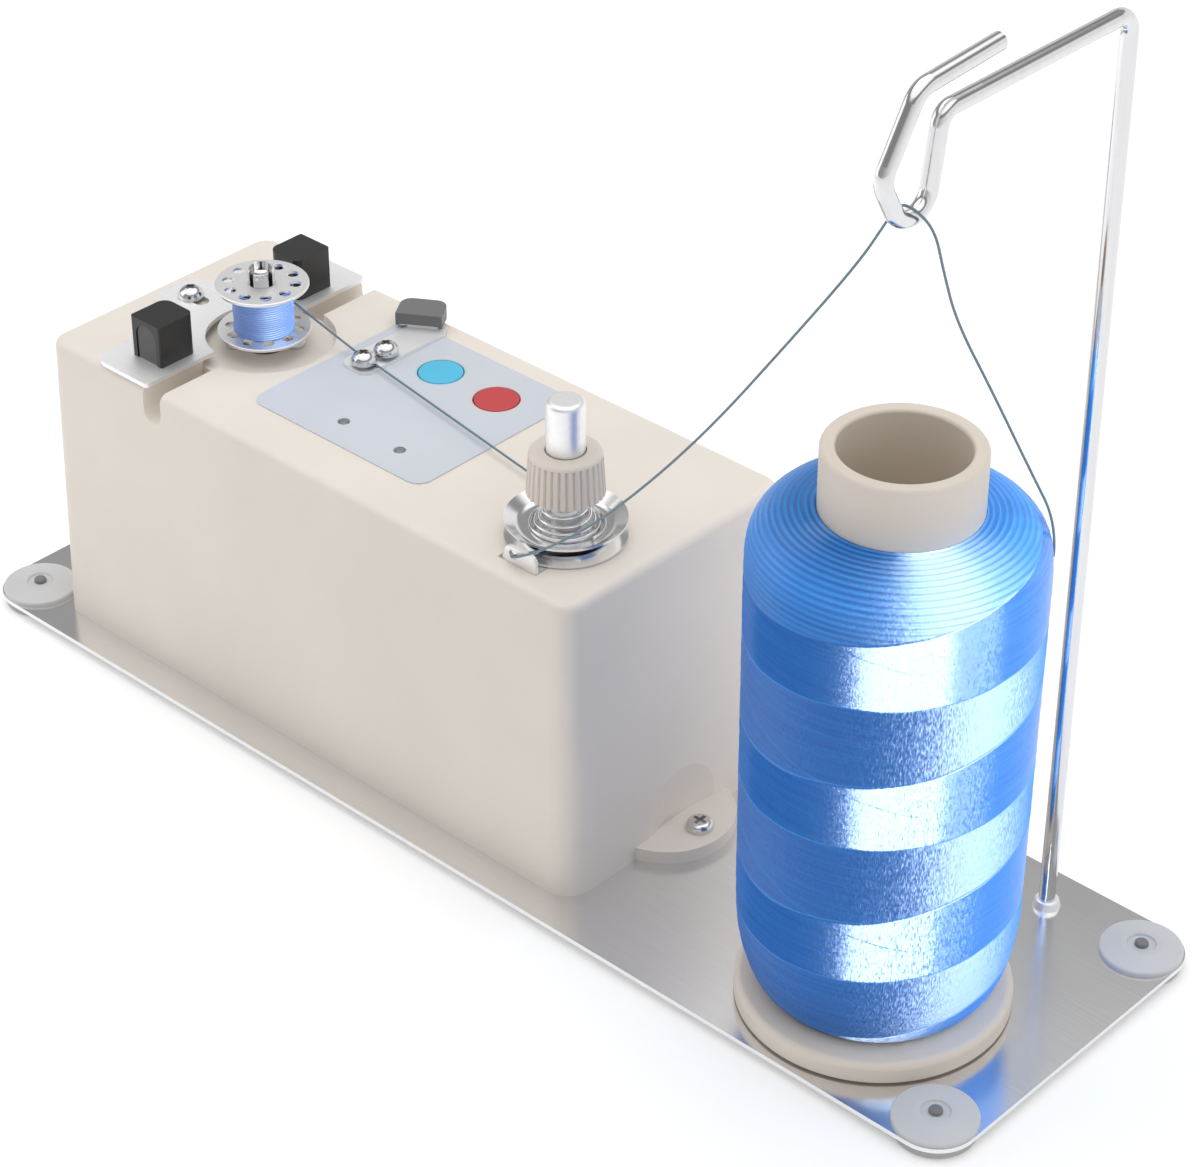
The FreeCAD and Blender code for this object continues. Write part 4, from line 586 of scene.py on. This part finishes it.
def newMaterial(slot, groupName, values, shader, coordinate="Object"):
    # it is named after the slot, as plateSteel is after plate_steel
    first, *others = slot.split("_")
    material = bpy.data.materials.new(first + "".join(word.title() for word in others))
    material.use_nodes = True
    tree = material.node_tree
    principled = tree.nodes["Principled BSDF"]
    node = put(tree, "Group", node_tree=groups[groupName])
    tree.links.new(put(tree, "TexCoord").outputs[coordinate], node.inputs[0])
    for key, value in values.items():
        node.inputs[key].default_value = value
    for given, taken in (("Colour", "Base Color"), ("Roughness", "Roughness"), ("Normal", "Normal")):
        tree.links.new(node.outputs[given], principled.inputs[taken])
    for key, value in shader.items():
        principled.inputs[key].default_value = value
    return material


def plastic(slot, colour, rough, grain, drift=0.25, shader=None):
    # grain is how deep the spark texture stands, and drift how far the tone wanders
    return newMaterial(slot, "moulded", {"Colour": colour + (1,), "Rough": rough, "Depth": grain,
                                         "Drift": drift}, shader or {})


def metal(slot, colour, rough, stretch=(900.0, 900.0, 900.0), uneven=0.08, depth=0.02):
    # stretch is how fine the lines are along x, y and z; uneven is what they and the smudges add to rough
    return newMaterial(slot, "drawn", {"Colour": colour + (1,), "Rough": rough, "Spread": uneven,
                                       "Stretch": stretch, "Depth": depth}, {"Metallic": 1.0})


plastics = {
    "foot_rubber": {"colour": (0.42, 0.42, 0.42), "rough": 0.5, "grain": 0.08},
    "foot_plastic": {"colour": (0.82, 0.82, 0.825), "rough": 0.3, "grain": 0.02,
                     "shader": {"Transmission Weight": 0.25, "IOR": 1.45}},
    "foot_pin": {"colour": (0.2, 0.2, 0.205), "rough": 0.4, "grain": 0.03},
    "housing_plastic": {"colour": (0.76, 0.70, 0.63), "rough": 0.42, "grain": 0.06, "drift": 0.2},
    "label_film": {"colour": (0.64, 0.67, 0.73), "rough": 0.28, "grain": 0.015, "drift": 0.2},
    "start_blue": {"colour": (0.09, 0.55, 0.82), "rough": 0.3, "grain": 0.02},
    "stop_red": {"colour": (0.58, 0.055, 0.06), "rough": 0.3, "grain": 0.02},
    "lamp_lens": {"colour": (0.22, 0.23, 0.26), "rough": 0.15, "grain": 0.0},
    "board_green": {"colour": (0.012, 0.12, 0.04), "rough": 0.3, "grain": 0.05},
    "switch_black": {"colour": (0.02, 0.02, 0.02), "rough": 0.4, "grain": 0.04},
    "motor_plastic": {"colour": (0.02, 0.02, 0.02), "rough": 0.45, "grain": 0.06},
    "block_black": {"colour": (0.012, 0.012, 0.012), "rough": 0.32, "grain": 0.04},
    "lens_black": {"colour": (0.02, 0.02, 0.022), "rough": 0.16, "grain": 0.0,
                   "shader": {"Coat Weight": 0.2}},
    "guard_grey": {"colour": (0.17, 0.17, 0.172), "rough": 0.45, "grain": 0.05},
    "knob_plastic": {"colour": (0.72, 0.65, 0.58), "rough": 0.42, "grain": 0.05},
    "spool_plastic": {"colour": (0.75, 0.67, 0.585), "rough": 0.5, "grain": 0.08},
    "peg_plastic": {"colour": (0.05, 0.05, 0.05), "rough": 0.45, "grain": 0.06},
    "socket_black": {"colour": (0.015, 0.015, 0.015), "rough": 0.35, "grain": 0.04},
}

metals = {
    "plate_steel": {"colour": (0.88, 0.88, 0.885), "rough": 0.15,
                    "stretch": (60.0, 3000.0, 3000.0), "uneven": 0.1, "depth": 0.05},
    "screw_steel": {"colour": (0.72, 0.72, 0.73), "rough": 0.12},
    "motor_steel": {"colour": (0.5, 0.5, 0.51), "rough": 0.22, "stretch": (900.0, 900.0, 60.0)},
    "bush_brass": {"colour": (0.66, 0.44, 0.16), "rough": 0.25},
    "shaft_steel": {"colour": (0.66, 0.66, 0.67), "rough": 0.1},
    "rotor_iron": {"colour": (0.2, 0.2, 0.21), "rough": 0.4, "stretch": (60.0, 60.0, 3000.0)},
    "spindle_steel": {"colour": (0.74, 0.74, 0.75), "rough": 0.1},
    "bobbin_metal": {"colour": (0.95, 0.95, 0.95), "rough": 0.36,
                     "stretch": (500.0, 500.0, 2500.0), "uneven": 0.1},
    "bracket_steel": {"colour": (0.94, 0.94, 0.94), "rough": 0.5,
                      "stretch": (90.0, 2500.0, 2500.0), "uneven": 0.1, "depth": 0.04},
    "cutter_steel": {"colour": (0.92, 0.92, 0.92), "rough": 0.46,
                     "stretch": (2500.0, 90.0, 2500.0), "uneven": 0.1, "depth": 0.04},
    "blade_steel": {"colour": (0.66, 0.66, 0.68), "rough": 0.1, "stretch": (2500.0, 90.0, 2500.0)},
    "tension_steel": {"colour": (0.95, 0.95, 0.95), "rough": 0.4},
    "disc_chrome": {"colour": (0.90, 0.90, 0.905), "rough": 0.14,
                    "stretch": (400.0, 400.0, 400.0), "uneven": 0.05, "depth": 0.01},
    "spring_steel": {"colour": (0.62, 0.62, 0.63), "rough": 0.14},
    "mast_chrome": {"colour": (0.78, 0.78, 0.79), "rough": 0.1,
                    "stretch": (900.0, 900.0, 60.0), "uneven": 0.05, "depth": 0.01},
}

haloes = {
    "start_ring": {"slot": "start_halo", "colour": (0.50, 0.66, 0.76), "rough": 0.3, "grain": 0.01},
    "stop_ring": {"slot": "stop_halo", "colour": (0.76, 0.60, 0.60), "rough": 0.3, "grain": 0.01},
}

plainLay = {"Rate": 0.0, "Shift": -0.2, "Sway": 0.0, "Swell": 0.0, "Climb": 0.0, "First": 0.0,
            "Second": 0.0, "Lift": 0.0, "Rough": 0.4}
windings = {
    "cone": {"Axis": coneWound["centre"] + (0.0,), "Round": 1.0, "First": 0.31, "Second": -0.27,
             "Astray": 1.1, "Soft": 0.18, "Top": 0.0, "Lift": 0.64, "Ridge": 0.22,
             "Loose": 0.7, "Grain": 0.25, "Depth": 0.1, "Rough": 0.17,
             "Dark": (0.016, 0.15, 0.58, 1), "Pale": (0.05, 0.34, 0.90, 1)},
    "bobbin": {**plainLay, "Depth": 0.2,
               "Dark": (0.16, 0.29, 0.70, 1), "Pale": (0.30, 0.45, 0.84, 1)},
    "laid": {**plainLay, "Depth": 0.4,
             "Dark": (0.13, 0.20, 0.25, 1), "Pale": (0.24, 0.33, 0.39, 1)},
}


def threadFinish(name, values):
    # the bands follow the winding's UV map, and the fine noises its Object coordinates
    material = newMaterial(name + "_thread", "wound", values,
                           {"IOR": 1.5, "Specular IOR Level": 0.5}, "UV")
    tree = material.node_tree
    group = [node for node in tree.nodes if node.type == "GROUP"][0]
    tree.links.new(put(tree, "TexCoord").outputs["Object"], group.inputs["Spot"])
    return material


def placeFinishes():
    for name, piece in (("cone", conePiece), ("bobbin", bobbinPiece), ("laid", threadPiece)):
        piece.data.materials.append(threadFinish(name, windings[name]))
    for name, piece in ringPieces.items():
        piece.data.materials.append(plastic(**haloes[name]))
    finishes = {slot: plastic(slot, **values) for slot, values in plastics.items()}
    finishes.update({slot: metal(slot, **values) for slot, values in metals.items()})
    for part in frame["record"]["subparts"]:
        if part["material_slot"] in finishes:
            cadMesh = frame["nodes"][part["node"]].data
            cadMesh.materials.clear()
            cadMesh.materials.append(finishes[part["material_slot"]])


placeFinishes()
print("materials placed")


# studio: lamps, a sky in three bands and a pale floor
lamps = {
    "topSoftbox": {"place": (-0.10, 0.20, 1.30), "aim": (0, 0, 0.03), "size": (1.2, 1.0),
                   "power": 2.5, "colour": (1.0, 1.0, 1.0)},
    "leftNear": {"place": (-0.36, -0.22, 0.26), "aim": (-0.10, 0, 0.04), "size": (0.3, 0.3),
                 "power": 0.32, "colour": (1.0, 1.0, 1.0)},
    "endFill": {"place": (0.95, 0.25, 0.22), "aim": (0.05, 0, 0.05), "size": (0.8, 0.4),
                "power": 2.4, "colour": (1.0, 0.95, 0.88), "only": "housing"},
    "threadShine": {"place": (1.40, -0.30, 0.85), "aim": (0.1, 0, 0.06), "size": (1.7, 1.1),
                    "power": 180.0, "colour": (0.82, 0.95, 1.0), "only": "thread",
                    "diffuse": False},
    "threadFill": {"place": (1.0, 0.55, 0.45), "aim": (0.1, 0, 0.06), "size": (0.8, 0.5),
                   "power": 13.0, "colour": (0.8, 1.0, 1.0), "only": "thread"},
}


def together(name, *pieces):
    # a collection of pieces, for a lamp that lights them alone
    collection = bpy.data.collections.new(name)
    for piece in pieces:
        collection.objects.link(piece)
    return collection


def lightLamp(name, lamp, groupsLit):
    # with "only" the lamp lights that group of pieces alone; with "diffuse" False it only shines
    data = bpy.data.lights.new(name, "AREA")
    data.shape = "RECTANGLE"
    data.size, data.size_y = lamp["size"]
    data.energy, data.color = lamp["power"], lamp["colour"]
    thing = show(name, data)
    way = Vector(lamp["aim"]) - Vector(lamp["place"])
    thing.location = lamp["place"]
    thing.rotation_euler = way.to_track_quat("-Z", "Y").to_euler()
    thing.visible_diffuse = lamp.get("diffuse", True)
    if "only" in lamp:
        thing.light_linking.receiver_collection = groupsLit[lamp["only"]]


litAlone = {"thread": together("threadAlone", conePiece, bobbinPiece),
            "housing": together("housingAlone", frame["nodes"]["housing"])}
for name, lamp in lamps.items():
    lightLamp(name, lamp, litAlone)
print("lamps lit")


sky = {
    "across": (0.71, 0.71, 0.0),     # from the camera's left to its right
    "acrossRange": (-0.7, 0.7),
    "low": (0.36, 0.92),             # how bright it is low down, at the two ends of that range
    "half": 0.27,                    # and half way up, and overhead
    "halfFrom": (0.42, 0.48),
    "high": 1.25,
    "highFrom": (0.65, 0.74),
}


def paintSky(s):
    world = bpy.data.worlds.new("studio")
    bpy.context.scene.world = world
    world.use_nodes = True
    tree = world.node_tree
    spot = put(tree, "TexCoord").outputs["Generated"]
    across = put(tree, "VectorMath", operation="DOT_PRODUCT", in0=spot, in1=s["across"])
    low = spread(tree, across.outputs["Value"], *s["acrossRange"], *s["low"])
    height = put(tree, "SeparateXYZ", in0=spot).outputs[2]
    grey = spread(tree, height, *s["halfFrom"], low, s["half"])
    grey = spread(tree, height, *s["highFrom"], grey, s["high"])
    colour = put(tree, "CombineColor", in0=grey, in1=grey, in2=grey).outputs[0]
    tree.links.new(colour, tree.nodes["Background"].inputs[0])


paintSky(sky)
print("sky painted")


floor = {
    "half": 6.0,       # half its side, in metres
    "paint": {"Base Color": (0.95, 0.95, 0.95, 1), "Roughness": 0.9, "Specular IOR Level": 0.1,
              "Emission Color": (1, 1, 1, 1), "Emission Strength": 0.16},
}


def layFloor(f):
    half = f["half"]
    mesh = bpy.data.meshes.new("floor")
    mesh.from_pydata([(-half, -half, 0), (half, -half, 0), (half, half, 0), (-half, half, 0)],
                     [], [(0, 1, 2, 3)])
    paint = bpy.data.materials.new("floorPaint")
    paint.use_nodes = True
    shader = paint.node_tree.nodes["Principled BSDF"]
    for key, value in f["paint"].items():
        shader.inputs[key].default_value = value
    mesh.materials.append(paint)
    show("floor", mesh)


layFloor(floor)
bpy.context.scene.view_settings.view_transform = "Standard"
print("floor laid")
